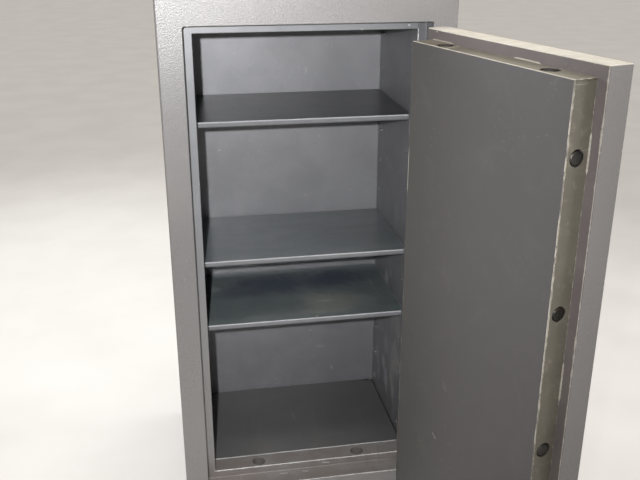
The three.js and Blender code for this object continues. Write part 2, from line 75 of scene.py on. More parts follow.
# ------------------------------------------------------------------ node helpers
class Graph:
    """A short way to write shader nodes."""

    def __init__(self, name):
        self.mat = bpy.data.materials.new(name)
        self.mat.use_nodes = True
        self.nt = self.mat.node_tree
        self.nt.nodes.clear()
        self.out = self.nt.nodes.new("ShaderNodeOutputMaterial")
        self.bsdf = self.nt.nodes.new("ShaderNodeBsdfPrincipled")
        self.nt.links.new(self.bsdf.outputs[0], self.out.inputs[0])
        tc = self.nt.nodes.new("ShaderNodeTexCoord")
        self.co = tc.outputs["Object"]

    def node(self, kind, **props):
        n = self.nt.nodes.new(kind)
        for k, v in props.items():
            setattr(n, k, v)
        return n

    def link(self, a, b):
        self.nt.links.new(a, b)

    def put(self, socket, value):
        if isinstance(value, bpy.types.NodeSocket):
            self.link(value, socket)
        else:
            socket.default_value = value

    def math(self, op, a, b=None, clamp=False, c=None):
        n = self.node("ShaderNodeMath", operation=op, use_clamp=clamp)
        self.put(n.inputs[0], a)
        if b is not None:
            self.put(n.inputs[1], b)
        if c is not None:
            self.put(n.inputs[2], c)
        return n.outputs[0]

    def vmath(self, op, a, b=None, scale=None):
        n = self.node("ShaderNodeVectorMath", operation=op)
        self.put(n.inputs[0], a)
        if b is not None:
            self.put(n.inputs[1], b)
        if scale is not None:
            self.put(n.inputs["Scale"], scale)
        return n.outputs["Value"] if op in ("DOT_PRODUCT", "LENGTH", "DISTANCE") else n.outputs["Vector"]

    def map(self, scale=(1, 1, 1), rot=(0, 0, 0), loc=(0, 0, 0), co=None):
        n = self.node("ShaderNodeMapping")
        self.put(n.inputs["Vector"], co or self.co)
        n.inputs["Location"].default_value = loc
        n.inputs["Rotation"].default_value = rot
        n.inputs["Scale"].default_value = scale
        return n.outputs[0]

    def noise(self, scale, detail=2.0, rough=0.5, dist=0.0, co=None):
        n = self.node("ShaderNodeTexNoise")
        self.put(n.inputs["Vector"], co or self.co)
        n.inputs["Scale"].default_value = scale
        n.inputs["Detail"].default_value = detail
        n.inputs["Roughness"].default_value = rough
        n.inputs["Distortion"].default_value = dist
        return n.outputs["Fac"]

    def voronoi(self, scale, feature="F1", smooth=0.5, co=None, rand=1.0):
        n = self.node("ShaderNodeTexVoronoi", feature=feature)
        self.put(n.inputs["Vector"], co or self.co)
        n.inputs["Scale"].default_value = scale
        n.inputs["Randomness"].default_value = rand
        if feature == "SMOOTH_F1":
            n.inputs["Smoothness"].default_value = smooth
        return n.outputs["Distance"]

    def ramp(self, fac, stops, mode="LINEAR"):
        n = self.node("ShaderNodeValToRGB")
        n.color_ramp.interpolation = mode
        els = n.color_ramp.elements
        while len(els) < len(stops):
            els.new(0.5)
        for e, (p, v) in zip(els, stops):
            e.position = p
            e.color = (v, v, v, 1) if not hasattr(v, "__len__") else (*v, 1)
        self.put(n.inputs[0], fac)
        return n.outputs[0]

    def span(self, v, a, b, lo=0.0, hi=1.0):
        """v from a..b to lo..hi, clamped, smooth."""
        n = self.node("ShaderNodeMapRange", interpolation_type="SMOOTHSTEP")
        self.put(n.inputs["Value"], v)
        n.inputs["From Min"].default_value = a
        n.inputs["From Max"].default_value = b
        n.inputs["To Min"].default_value = lo
        n.inputs["To Max"].default_value = hi
        return n.outputs[0]

    def mix(self, fac, a, b):
        n = self.node("ShaderNodeMix", data_type="RGBA", clamp_factor=True)
        self.put(n.inputs[0], fac)
        for s, v in ((n.inputs[6], a), (n.inputs[7], b)):
            self.put(s, (*v, 1) if isinstance(v, tuple) and len(v) == 3 else v)
        return n.outputs[2]

    def mixf(self, fac, a, b):
        n = self.node("ShaderNodeMix", data_type="FLOAT", clamp_factor=True)
        self.put(n.inputs[0], fac)
        self.put(n.inputs[2], a)
        self.put(n.inputs[3], b)
        return n.outputs[0]

    def bump(self, height, strength, distance, normal=None):
        n = self.node("ShaderNodeBump")
        n.inputs["Strength"].default_value = strength
        n.inputs["Distance"].default_value = distance
        self.put(n.inputs["Height"], height)
        if normal is not None:
            self.put(n.inputs["Normal"], normal)
        return n.outputs[0]

    def xyz(self, co=None):
        n = self.node("ShaderNodeSeparateXYZ")
        self.put(n.inputs[0], co or self.co)
        return n.outputs[0], n.outputs[1], n.outputs[2]

    def add(self, *vals):
        out = vals[0]
        for v in vals[1:]:
            out = self.math("ADD", out, v)
        return out

    def most(self, *vals):
        out = vals[0]
        for v in vals[1:]:
            out = self.math("MAXIMUM", out, v)
        return out

    def mul(self, *vals):
        out = vals[0]
        for v in vals[1:]:
            out = self.math("MULTIPLY", out, v)
        return out

    def segment(self, p0, p1, width, co=None):
        """1 on the straight scratch from p0 to p1, 0 beyond width."""
        p0, p1 = Vector(p0), Vector(p1)
        d = p1 - p0
        rel = self.vmath("SUBTRACT", co or self.co, tuple(p0))
        t = self.math("DIVIDE", self.vmath("DOT_PRODUCT", rel, tuple(d)), max(d.length_squared, 1e-9), clamp=True)
        along = self.vmath("SCALE", tuple(d), scale=t)
        far = self.vmath("LENGTH", self.vmath("SUBTRACT", rel, along))
        return self.span(far, width * 0.35, width, 1.0, 0.0)

    def scratches(self, density=1.0, seed=0.0, co=None, fine=140.0):
        """Sparse thin scratches in two directions."""
        outs = []
        for k, (rx, ry, rz) in enumerate(((0.3, 0.5, 0.9), (1.1, 2.1, 0.4), (0.2, 1.3, 2.4))):
            v = self.map((fine, 2.2, fine), (rx, ry, rz), (seed + k * 3.1, seed * 2.0, k * 1.7), co)
            band = self.noise(1.0, 1.0, 0.4, 0.35, v)
            line = self.ramp(band, [(0.0, 0.0), (0.695, 0.0), (0.712, 1.0), (0.73, 0.0), (1.0, 0.0)])
            area = self.noise(5.5 + k, 2.0, 0.5, 0.0, self.map((1, 1, 1), (0, 0, 0), (seed + k * 7.3, 1.3, seed), co))
            outs.append(self.math("MULTIPLY", line, self.span(area, 0.60 - 0.05 * density, 0.68, 0.0, 1.0)))
        return self.most(*outs)

    def blotch(self, centre, radius, squash=(1, 1, 1), ragged=0.5, seed=0.0, co=None):
        """Soft ragged patch round a point."""
        rel = self.vmath("SUBTRACT", co or self.co, tuple(centre))
        rel = self.vmath("MULTIPLY", rel, tuple(squash))
        far = self.vmath("LENGTH", rel)
        n = self.noise(2.2 / radius, 4, 0.65, 0.8, self.map((1, 1, 1), (0, 0, 0), (seed, seed * 0.7, 0), co))
        far = self.add(far, self.mul(self.math("SUBTRACT", n, 0.5), radius * ragged * 2.0))
        return self.span(far, radius * 0.25, radius, 1.0, 0.0)

    def done(self, color, rough, normal=None, metallic=0.0, coat=0.0, coat_rough=0.2, spec=0.5):
        self.put(self.bsdf.inputs["Base Color"], color)
        self.put(self.bsdf.inputs["Roughness"], rough)
        self.put(self.bsdf.inputs["Metallic"], metallic)
        self.bsdf.inputs["Coat Weight"].default_value = coat
        self.bsdf.inputs["Coat Roughness"].default_value = coat_rough
        self.bsdf.inputs["Specular IOR Level"].default_value = spec
        if normal is not None:
            self.link(normal, self.bsdf.inputs["Normal"])
        return self.mat


def closed_co(g):
    """Coordinates of the closed door from those of the open one."""
    back = Matrix.Rotation(-THETA, 3, "Z")
    loc = PIVOT - back @ PIVOT
    return g.map((1, 1, 1), (0, 0, -THETA), tuple(loc))


# distance from a rectangular line round the door opening: half width, bottom, top, depth
def loop_distance(g, half, z0, z1, y):
    x, yy, z = g.xyz()
    ax = g.math("SUBTRACT", g.math("ABSOLUTE", x), half)
    az = g.math("SUBTRACT", g.math("ABSOLUTE", g.math("SUBTRACT", z, (z0 + z1) / 2)), (z1 - z0) / 2)
    s = g.math("MAXIMUM", ax, az)
    dy = g.math("SUBTRACT", yy, y)
    return g.math("SQRT", g.math("ADD", g.mul(s, s), g.mul(dy, dy))), s, dy


# distance from the nearest of a few straight edges of a box, given as its corners, for worn arrises
def box_edges(g, lo, hi, co=None):
    """Second smallest distance to the box's six planes: small on an edge."""
    x, y, z = g.xyz(co)
    ds = []
    for v, a, b in ((x, lo[0], hi[0]), (y, lo[1], hi[1]), (z, lo[2], hi[2])):
        ds.append(g.math("MINIMUM", g.math("ABSOLUTE", g.math("SUBTRACT", v, a)), g.math("ABSOLUTE", g.math("SUBTRACT", v, b))))
    a, b, c = ds
    lo2 = g.math("MINIMUM", g.math("MAXIMUM", a, b), g.math("MINIMUM", g.math("MAXIMUM", b, c), g.math("MAXIMUM", a, c)))
    return lo2


# ------------------------------------------------------------------ materials
def hammered(name, base=(0.255, 0.247, 0.242), door=False, plain=False):
    g = Graph(name)
    co = closed_co(g) if door else g.co
    # leathery cells of a textured powder coat, about 3 mm across, with a finer grain on them
    moved = g.vmath("ADD", co, g.vmath("SCALE", g.node_color_noise(190, co), scale=0.0012))
    cells = g.voronoi(540, "SMOOTH_F1", 0.35, moved)
    grain = g.noise(1300, 2, 0.6, 0.0, co)
    height = g.add(g.mul(cells, 1.0), g.mul(grain, 0.4), g.mul(g.noise(160, 2, 0.5, 0.0, co), 0.5))
    normal = g.bump(height, 0.30, 0.0009)
    broad = g.noise(3.2, 3, 0.55, 0.0, co)
    speck = g.span(cells, 0.18, 0.62)
    col = g.mix(speck, tuple(c * 1.12 for c in base), tuple(c * 0.80 for c in base))
    col = g.mix(g.span(broad, 0.35, 0.7), col, tuple(c * 0.93 for c in base))
    dust = g.mul(g.span(g.noise(2.1, 4, 0.6, 0.3, co), 0.5, 0.72), 0.18)
    col = g.mix(dust, col, (0.36, 0.34, 0.32))
    hx, hy, hz = g.xyz(co)
    # painted shade and highlight: the coat darkens with height, and is lightened near the top, more towards +x
    painted_shade_by_height = g.span(g.add(hz, g.mul(g.math("SUBTRACT", broad, 0.5), 0.15)), 0.10, 0.75)
    painted_top_highlight = g.mul(g.span(hz, 1.12, 1.22), g.span(hx, -0.32, 0.24, 0.28, 1.0))
    col = g.mix(g.mul(painted_shade_by_height, g.math("SUBTRACT", 1.0, painted_top_highlight), 0.36), col, tuple(c * 0.30 for c in base))
    col = g.mix(g.mul(painted_top_highlight, 0.20), col, (0.40, 0.385, 0.375))
    rough = g.add(g.mul(grain, 0.10), g.mul(broad, 0.06), 0.29)
    sc = g.scratches(0.35, 2.0, co)
    col = g.mix(g.mul(sc, 0.35), col, (0.50, 0.49, 0.47))
    if not door and not plain:
        # smooth paint inside the recess; chipped bright arrises
        d1, s1, dy1 = loop_distance(g, 0.270, 0.077, 0.235 + 1.0, -0.25)
        d2, s2, dy2 = loop_distance(g, 0.2495, 0.0975, 1.2145, -0.200)
        d3, s3, dy3 = loop_distance(g, 0.2495, 0.0975, 1.2145, -0.153)
        inside = g.span(s1, -0.0002, 0.0006, 1.0, 0.0)
        smooth_n = g.bump(g.add(g.noise(260, 2, 0.5), g.mul(g.noise(40, 2, 0.5), 0.6)), 0.10, 0.0006)
        x, y, z = g.xyz()
        fcol = g.mix(g.span(g.noise(7, 4, 0.6, 0.4), 0.38, 0.66), (0.225, 0.230, 0.240), (0.262, 0.268, 0.278))
        fcol = g.mix(g.span(z, 0.95, 0.35), fcol, g.mix(g.noise(12, 3), (0.218, 0.210, 0.206), (0.250, 0.241, 0.237)))
        # painted shade: the smooth paint is darker on the right member of the frame, and darkens with height
        fcol = g.mix(g.span(x, 0.2480, 0.2500), fcol, (0.150, 0.152, 0.160))
        fcol = g.mix(g.mul(painted_shade_by_height, 0.20), fcol, (0.055, 0.056, 0.060))
        # brown dust gathers on the sill
        low = g.mul(g.span(z, 0.150, 0.094, 0.0, 1.0), g.span(g.noise(16, 4, 0.65, 0.6), 0.28, 0.6))
        fcol = g.mix(g.mul(low, 0.80), fcol, (0.190, 0.163, 0.147))
        chip = g.noise(75, 4, 0.7, 0.6)
        sill = g.span(z, 0.104, 0.098)                       # the sill is kicked and scraped
        hinge_side = g.mul(g.span(x, 0.2480, 0.2490), g.span(z, 1.02, 1.10))
        w1 = g.mul(g.span(g.math("SUBTRACT", d1, g.mul(g.span(chip, 0.42, 0.66), 0.0020)), 0.0016, 0.0008), g.mul(sill, g.span(x, -0.262, -0.250)))
        w2 = g.mul(g.span(g.math("SUBTRACT", d2, g.mul(g.span(chip, 0.44, 0.70), 0.0022)), 0.0018, 0.0010), g.math("MAXIMUM", sill, hinge_side))
        w3 = g.mul(g.math("LESS_THAN", d3, g.mul(g.span(chip, 0.44, 0.70), 0.0020)), sill)
        runs = g.scratches(1.6, 5.0)
        dots = None
        for p in DOTS:
            sdot = g.segment(p, (p[0] + 0.001, p[1], p[2]), 0.0032)
            dots = sdot if dots is None else g.most(dots, sdot)
        for a, b in FRAME_SCRATCHES:
            dots = g.most(dots, g.segment(a, b, 0.0022))
        wear = g.most(w1, w2, w3, g.mul(runs, 0.55, inside), dots)
        wear_in = g.mul(wear, 1.0)
        col = g.mix(inside, col, fcol)
        col = g.mix(g.mul(wear_in, 0.85), col, (0.52, 0.52, 0.52))
        rough = g.mixf(inside, rough, g.add(g.mul(g.noise(30, 3), 0.15), 0.30))
        nm = g.node("ShaderNodeMix", data_type="VECTOR")
        g.put(nm.inputs[0], inside)
        g.put(nm.inputs[4], normal)
        g.put(nm.inputs[5], smooth_n)
        normal = nm.outputs[1]
    return g.done(col, rough, normal, 0.20, spec=0.60)


def color_noise(self, scale, co=None):
    n = self.node("ShaderNodeTexNoise")
    self.put(n.inputs["Vector"], co or self.co)
    n.inputs["Scale"].default_value = scale
    n.inputs["Detail"].default_value = 1.0
    return self.vmath("SUBTRACT", n.outputs["Color"], (0.5, 0.5, 0.5))


Graph.node_color_noise = color_noise

WORLD, KEY, TOP, FILL, SIDE = 0.05, 205.0, 2.6, 4.0, 5.0
REAR, RIGHT, LEFT = 360.0, 300.0, 300.0

SCRATCH_A, SCRATCH_B, SMUDGE = (0.0912, -0.154, 0.3562), (0.0772, -0.154, 0.3484), (0.0585, -0.154, 0.5015)
DOTS = [(0.2284, -0.2, 1.2233), (0.1217, -0.2, 1.2148), (-0.2598, -0.25, 1.2350)]
FRAME_SCRATCHES = [((-0.0800, -0.2130, 0.077), (-0.0630, -0.2139, 0.077)), ((-0.0204, -0.2130, 0.077), (-0.0074, -0.2154, 0.077)),
                   ((0.035, -0.2, 0.088), (0.052, -0.2, 0.086))]


def liner(name):
    """Smooth semi-matt enamel on sheet, faintly orange-peeled, rubbed where shelves have been pushed in."""
    g = Graph(name)
    x, y, z = g.xyz()
    peel = g.noise(420, 2, 0.5)
    wave = g.noise(9, 3, 0.55, 0.3)
    blot = g.noise(26, 4, 0.62, 0.5)
    col = g.mix(g.span(wave, 0.32, 0.68), LINER_A, LINER_B)
    col = g.mix(g.mul(g.span(blot, 0.50, 0.74), 0.35), col, tuple(c * 1.16 for c in LINER_A))
    col = g.mix(g.mul(g.span(g.noise(58, 3, 0.6, 0.2), 0.62, 0.74), 0.35), col, tuple(c * 0.80 for c in LINER_B))
    # rubbed streaks level with the shelves' ends
    rub = None
    for zs in (1.003, 0.658, 0.486):
        band = g.mul(g.span(g.math("ABSOLUTE", g.math("SUBTRACT", z, zs)), 0.0045, 0.0075, 1.0, 0.0),
                     g.span(g.noise(1.0, 3, 0.6, 0.0, g.map((9, 14, 420))), 0.45, 0.62))
        rub = band if rub is None else g.most(rub, band)
    rub = g.mul(rub, g.span(g.math("ABSOLUTE", x), 0.255, 0.261))
    marks = g.most(g.segment((0.2625, 0.0688, 0.2306), (0.2625, -0.0186, 0.1807), 0.0030),
                   g.segment((0.2625, 0.0540, 0.5060), (0.2625, 0.0625, 0.4980), 0.0050),
                   g.segment((0.2625, 0.0613, 0.3350), (0.2625, 0.0613, 0.3310), 0.0060),
                   g.segment((0.2625, 0.090, 0.84), (0.2625, 0.020, 0.826), 0.0016),
                   g.segment((-0.2625, 0.02, 0.58), (-0.2625, 0.12, 0.57), 0.0016))
    breakup = g.span(g.noise(190, 3, 0.7), 0.36, 0.60)
    marks = g.mul(marks, breakup)
    for k, (pc, pr, psq, amt) in enumerate((((0.2625, 0.022, 0.190), 0.028, (0, 1, 0.6), 1.5), ((0.2625, 0.047, 0.505), 0.024, (0, 1, 0.8), 1.3),
                                            ((0.2625, 0.006, 0.535), 0.018, (0, 1, 1), 0.8), ((0.2625, 0.051, 0.229), 0.020, (0, 1, 0.6), 1.3),
                                            ((0.2625, -0.057, 0.197), 0.015, (0, 1, 0.5), 0.9), ((0.2625, 0.030, 0.300), 0.034, (0, 1, 0.7), 0.75),
                                            ((0.2625, -0.03, 0.72), 0.030, (0, 1, 0.6), 0.35), ((0.0585, 0.1836, 1.0654), 0.0055, (1, 0, 0.35), 0.40),
                                            ((-0.1821, 0.1836, 0.8573), 0.0036, (1, 0, 1), 0.9), ((0.0563, 0.1836, 0.7153), 0.0036, (1, 0, 1), 0.8),
                                            ((0.0945, 0.1836, 0.8849), 0.0036, (1, 0, 0.8), 0.6), ((-0.1308, 0.1836, 1.1161), 0.0030, (1, 0, 1), 0.6),
                                            ((0.1328, 0.1836, 0.1501), 0.0060, (1, 0, 0.7), 0.8), ((0.0943, 0.1836, 0.2286), 0.010, (0.5, 0, 1.5), 0.4),
                                            ((0.0661, 0.1836, 0.2869), 0.007, (1, 0, 1.5), 0.5))):
        marks = g.most(marks, g.mul(g.blotch(pc, pr, psq, 0.9, k * 2.3), amt * 0.55))
    sc = g.scratches(1.1, 11.0)
    dust = g.mul(g.span(z, 0.26, 0.10), g.span(blot, 0.40, 0.66))
    col = g.mix(g.mul(dust, 0.30), col, (0.17, 0.16, 0.15))
    smear = g.mul(g.span(g.noise(1.0, 5, 0.72, 1.0, g.map((1, 13, 5.0), (0.5, 0, 0))), 0.49, 0.64), g.span(x, 0.2600, 0.2615), g.span(z, 0.70, 0.45, 0.35, 1.0))
    col = g.mix(g.mul(smear, 0.62), col, (0.395, 0.385, 0.365))
    fleck = g.mul(g.span(g.voronoi(21, "F1", co=g.vmath("ADD", g.co, g.vmath("SCALE", g.node_color_noise(60), scale=0.006))), 0.060, 0.030), g.span(g.noise(8, 2), 0.50, 0.62))
    col = g.mix(g.mul(fleck, 0.45), col, (0.42, 0.42, 0.42))
    col = g.mix(g.mul(g.most(g.mul(rub, 0.7), marks, g.mul(sc, 0.4)), 0.75), col, (0.50, 0.51, 0.52))
    rough = g.add(0.38, g.mul(blot, 0.12), g.mul(peel, 0.05), g.mul(rub, -0.12), g.mul(smear, 0.1))
    height = g.add(g.mul(peel, 0.8), g.mul(g.noise(170, 2, 0.5), 0.5), g.mul(wave, 0.5), g.mul(sc, -0.35), g.mul(marks, 0.2))
    # painted shade: the right wall is darkened above mid height, and the back wall more and more towards the right
    side = g.mul(g.span(x, 0.2600, 0.2615), g.span(z, 0.55, 0.80))
    back = g.mul(g.span(y, 0.180, 0.183), g.span(x, -0.15, 0.24))
    col = g.mix(g.add(g.mul(side, 0.20), g.mul(back, 0.17)), col, (0.085, 0.085, 0.090))
    return g.done(col, rough, g.bump(height, 0.22, 0.0007), 0.45, spec=0.6)


def shelf_paint(name, a, b, gloss=0.30, stain=(0.20, 0.225, 0.225), relief=0.05, patches=(), calm=1.0, coat=0.15):
    """Galvanised sheet under thin enamel: cloudy, smeared by hands and paper, front fold rubbed bright on its arris,
    with a painted highlight along its rounded top and painted shade below.
    """
    g = Graph(name)
    x, y, z = g.xyz()
    spangle = g.voronoi(70, "F1", co=g.vmath("ADD", g.co, g.vmath("SCALE", g.node_color_noise(20), scale=0.02)))
    cloud = g.noise(6.5, 5, 0.62, 0.9, g.map((0.8, 1.9, 1)))
    smear = g.noise(17, 4, 0.65, 1.4, g.map((0.6, 1.5, 1), (0, 0, 0.4)))
    col = g.mix(g.span(cloud, 0.34, 0.66), a, b)
    col = g.mix(g.mul(g.span(smear, 0.54, 0.70), 0.45 * calm), col, stain)
    col = g.mix(g.mul(g.span(spangle, 0.1, 0.7), 0.12), col, tuple(c * 0.7 for c in a))
    for k, (pc, pr, psq, pcol, pamt) in enumerate(patches):
        col = g.mix(g.mul(g.blotch(pc, pr, psq, 0.6, 3.0 + k * 1.7), pamt), col, pcol)
    prints = g.mul(g.span(g.noise(42, 3, 0.6, 2.2), 0.60, 0.70), g.span(smear, 0.45, 0.6))
    front = g.span(y, -0.1452, -0.1462)                       # the front lip
    edge = box_edges(g, (-0.26, -0.1465, -1.0), (0.26, 0.178, 3.0))
    arris = None
    for top in (1.010, 0.665, 0.493):
        d1 = g.add(g.math("ABSOLUTE", g.math("SUBTRACT", z, top)), g.math("ABSOLUTE", g.math("SUBTRACT", y, -0.1465)))
        d2 = g.add(g.math("ABSOLUTE", g.math("SUBTRACT", z, top)), g.math("MINIMUM", g.math("ABSOLUTE", g.math("SUBTRACT", x, 0.26)), g.math("ABSOLUTE", g.math("ADD", x, 0.26))))
        d = g.math("MINIMUM", d1, d2)
        arris = d if arris is None else g.math("MINIMUM", arris, d)
    chip = g.noise(48, 4, 0.7, 0.4)
    worn = g.span(g.math("SUBTRACT", arris, g.mul(g.span(chip, 0.36, 0.66), 0.0005)), 0.0022, 0.0012)
    worn = g.mul(worn, g.span(y, -0.1400, -0.1440, 0.22, 1.0))
    sc = g.scratches(1.5, 23.0, None, 170.0)
    lip = g.mix(g.span(g.noise(30, 3), 0.4, 0.6), (0.135, 0.138, 0.144), (0.152, 0.155, 0.162))
    # painted highlight along the rounded top of the front lip, and painted shade on its lower part
    lip = g.mix(g.span(arris, 0.0042, 0.0022), lip, (0.225, 0.23, 0.24))
    lip = g.mix(g.span(arris, 0.0085, 0.0125), lip, (0.085, 0.087, 0.092))
    col = g.mix(g.mul(front, 0.95), col, lip)
    # painted shade: the shelf is darkened towards the right, behind its front lip
    right = g.mul(g.span(x, -0.02, 0.24), g.span(y, -0.1462, -0.1452))
    col = g.mix(g.mul(right, 0.30), col, tuple(c * 0.35 for c in a))
    col = g.mix(g.mul(worn, 0.85), col, (0.44, 0.445, 0.455))
    col = g.mix(g.mul(sc, 0.40 * calm * calm), col, (0.42, 0.44, 0.44))
    spot = g.segment((0.2526, -0.0929, 0.493), (0.2516, -0.0929, 0.493), 0.004)
    col = g.mix(spot, col, (0.02, 0.02, 0.02))
    rough = g.add(gloss, g.mul(g.span(smear, 0.4, 0.7), 0.14 * calm), g.mul(prints, 0.12 * calm), g.mul(cloud, 0.08 * calm), g.mul(sc, 0.12))
    height = g.add(g.mul(g.noise(300, 2, 0.5), 0.20), g.mul(g.noise(4, 2, 0.5), 0.6), g.mul(sc, -0.4), g.mul(worn, -0.3), g.mul(spangle, 0.08))
    return g.done(col, rough, g.bump(height, relief, 0.0004), 0.0, coat=coat, coat_rough=0.22)


def floor_paint(name):
    g = Graph(name)
    x, y, z = g.xyz()
    cloud = g.noise(5, 5, 0.6, 0.8)
    grit = g.noise(650, 3, 0.7)
    col = g.mix(g.span(cloud, 0.3, 0.7), FLOOR_A, FLOOR_B)
    col = g.mix(g.mul(g.span(grit, 0.60, 0.74), 0.35), col, (0.20, 0.19, 0.18))
    sc = g.scratches(1.5, 31.0, None, 120.0)
    d = g.add(g.math("ABSOLUTE", g.math("SUBTRACT", z, 0.1005)), g.math("ABSOLUTE", g.math("SUBTRACT", y, -0.1527)))
    worn = g.span(g.math("SUBTRACT", d, g.mul(g.span(g.noise(46, 4, 0.7), 0.35, 0.62), 0.0010)), 0.0020, 0.0012)
    front = g.span(y, -0.1518, -0.1526)
    col = g.mix(g.mul(front, 0.8), col, (0.26, 0.26, 0.25))
    col = g.mix(g.mul(worn, 0.85), col, (0.48, 0.48, 0.47))
    col = g.mix(g.mul(sc, 0.35), col, (0.26, 0.26, 0.26))
    dust = g.mul(g.span(g.noise(12, 4, 0.65, 0.5), 0.50, 0.70), 0.25)
    col = g.mix(dust, col, (0.15, 0.14, 0.13))
    # painted shade: the floor is darkened towards the right, behind its front edge
    col = g.mix(g.mul(g.span(x, -0.05, 0.24), g.span(y, -0.1526, -0.1516), 0.38), col, (0.035, 0.034, 0.035))
    col = g.mix(g.most(g.segment((0.238, 0.172, 0.1005), (0.250, 0.178, 0.1005), 0.006), g.mul(g.segment((0.225, 0.176, 0.1005), (0.238, 0.172, 0.1005), 0.003), 0.7)), col, (0.020, 0.020, 0.021))
    rough = g.add(0.40, g.mul(cloud, 0.18), g.mul(grit, 0.10), g.mul(dust, 0.4))
    height = g.add(g.mul(grit, 0.5), g.mul(g.noise(8, 2), 1.0), g.mul(sc, -0.4))
    return g.done(col, rough, g.bump(height, 0.20, 0.0008))


def cover_paint(name):
    """Satin enamel on the flat cover of the boltwork box; co are the closed door's coordinates."""
    g = Graph(name)
    co = closed_co(g)
    x, y, z = g.xyz(co)
    peel = g.noise(520, 3, 0.6, 0.0, co)
    wave = g.noise(4.5, 3, 0.55, 0.4, co)
    tint = g.add(g.span(x, 0.245, -0.05), g.mul(g.math("SUBTRACT", wave, 0.5), 0.5))
    col = g.mix(tint, COVER_A, COVER_B)
    low = g.mul(g.span(z, 0.75, 0.30), g.span(x, 0.06, 0.24))
    col = g.mix(g.mul(low, 0.30), col, (0.075, 0.072, 0.072))
    spk = g.noise(780, 2, 0.7, 0.0, co)
    col = g.mix(g.mul(g.span(spk, 0.55, 0.72), 0.28), col, (0.19, 0.185, 0.17))
    col = g.mix(g.mul(g.span(g.noise(15, 5, 0.62, 0.8, co), 0.50, 0.75), 0.18), col, (0.16, 0.155, 0.145))
    marks = g.most(g.segment(SCRATCH_A, SCRATCH_B, 0.0016, co),
                   g.mul(g.segment(SMUDGE, (SMUDGE[0] - 0.006, SMUDGE[1], SMUDGE[2] - 0.010), 0.008, co), 0.10),
                   g.mul(g.segment((-0.13, -0.154, 0.30), (-0.112, -0.154, 0.325), 0.0012, co), 0.5))
    marks = g.mul(marks, g.span(g.noise(240, 3, 0.7, 0.0, co), 0.34, 0.56))
    edge = box_edges(g, (-0.245, -0.156, 0.103), (0.245, -0.154, 1.209), co)
    chip = g.mul(g.span(g.noise(14, 2, 0.5, 0.0, co), 0.42, 0.62), g.span(g.noise(60, 4, 0.65, 0.3, co), 0.36, 0.62))
    worn = g.math("LESS_THAN", edge, g.add(g.mul(chip, 0.0011), 0.00035))
    seg = g.mul(g.span(g.math("ABSOLUTE", g.math("SUBTRACT", z, 0.935)), 0.040, 0.055, 1.0, 0.0),
                g.math("LESS_THAN", g.math("ABSOLUTE", g.math("SUBTRACT", x, 0.245)), 0.0022))
    topline = g.math("LESS_THAN", g.math("ABSOLUTE", g.math("SUBTRACT", z, 1.209)), 0.0013)
    sc = g.scratches(0.9, 41.0, co)
    col = g.mix(g.mul(g.most(g.mul(worn, 0.9), seg, marks, g.mul(topline, 0.8), g.mul(sc, 0.25)), 0.85), col, (0.62, 0.58, 0.50))
    rough = g.add(0.40, g.mul(wave, 0.12), g.mul(peel, 0.10))
    height = g.add(g.mul(peel, 0.6), g.mul(g.noise(3, 2, 0.5, 0.0, co), 2.5), g.mul(marks, -0.4), g.mul(sc, -0.3))
    return g.done(col, rough, g.bump(height, 0.20, 0.0007))


def inner_door(name, a, b, worn_col=(0.60, 0.56, 0.47)):
    """Primer-toned paint on the boltwork strips, thin on the edges."""
    g = Graph(name)
    co = closed_co(g)
    x, y, z = g.xyz(co)
    wave = g.noise(9, 4, 0.6, 0.5, co)
    peel = g.noise(480, 2, 0.6, 0.0, co)
    col = g.mix(g.span(wave, 0.35, 0.65), a, b)
    col = g.mix(g.mul(g.span(g.noise(60, 4, 0.7, 0.4, co), 0.52, 0.70), 0.30), col, (0.30, 0.27, 0.22))
    on_top = g.span(z, 1.2070, 1.2085)
    col = g.mix(g.mul(on_top, g.span(x, 0.125, 0.015), g.span(y, -0.192, -0.163), 0.60), col, (0.33, 0.31, 0.25))
    col = g.mix(g.mul(on_top, g.blotch((0.196, -0.176, 1.209), 0.020, (0.7, 1, 0), 0.5, 2.0, co), 0.45), col, (0.235, 0.165, 0.135))
    col = g.mix(g.mul(on_top, g.segment((0.1375, -0.1935, 1.209), (0.1245, -0.1590, 1.209), 0.0036, co), 0.8), col, (0.42, 0.39, 0.31))
    # painted shade: the walls of the two bolt holes in the top strip are near black
    for px in (-0.159, 0.159):
        dx, dy = g.math("SUBTRACT", x, px), g.math("ADD", y, 0.177)
        hole = g.span(g.math("SQRT", g.add(g.mul(dx, dx), g.mul(dy, dy))), 0.0180, 0.0172)
        col = g.mix(g.mul(hole, g.span(z, 1.195, 1.200)), col, (0.016, 0.015, 0.014))
    edge = box_edges(g, (-0.245, -0.2007, 0.103), (0.245, -0.1563, 1.209), co)
    chip = g.noise(85, 4, 0.7, 0.3, co)
    worn = g.mul(g.span(g.math("SUBTRACT", edge, g.mul(g.span(chip, 0.46, 0.70), 0.0016)), 0.0006, 0.0001), 0.8)
    sc = g.scratches(1.3, 47.0, co)
    col = g.mix(g.mul(g.most(worn, g.mul(sc, 0.5)), 0.8), col, worn_col)
    rough = g.add(0.40, g.mul(wave, 0.16), g.mul(peel, 0.08))
    return g.done(col, rough, g.bump(g.add(g.mul(peel, 0.6), g.mul(wave, 1.1), g.mul(sc, -0.4)), 0.2, 0.0007))


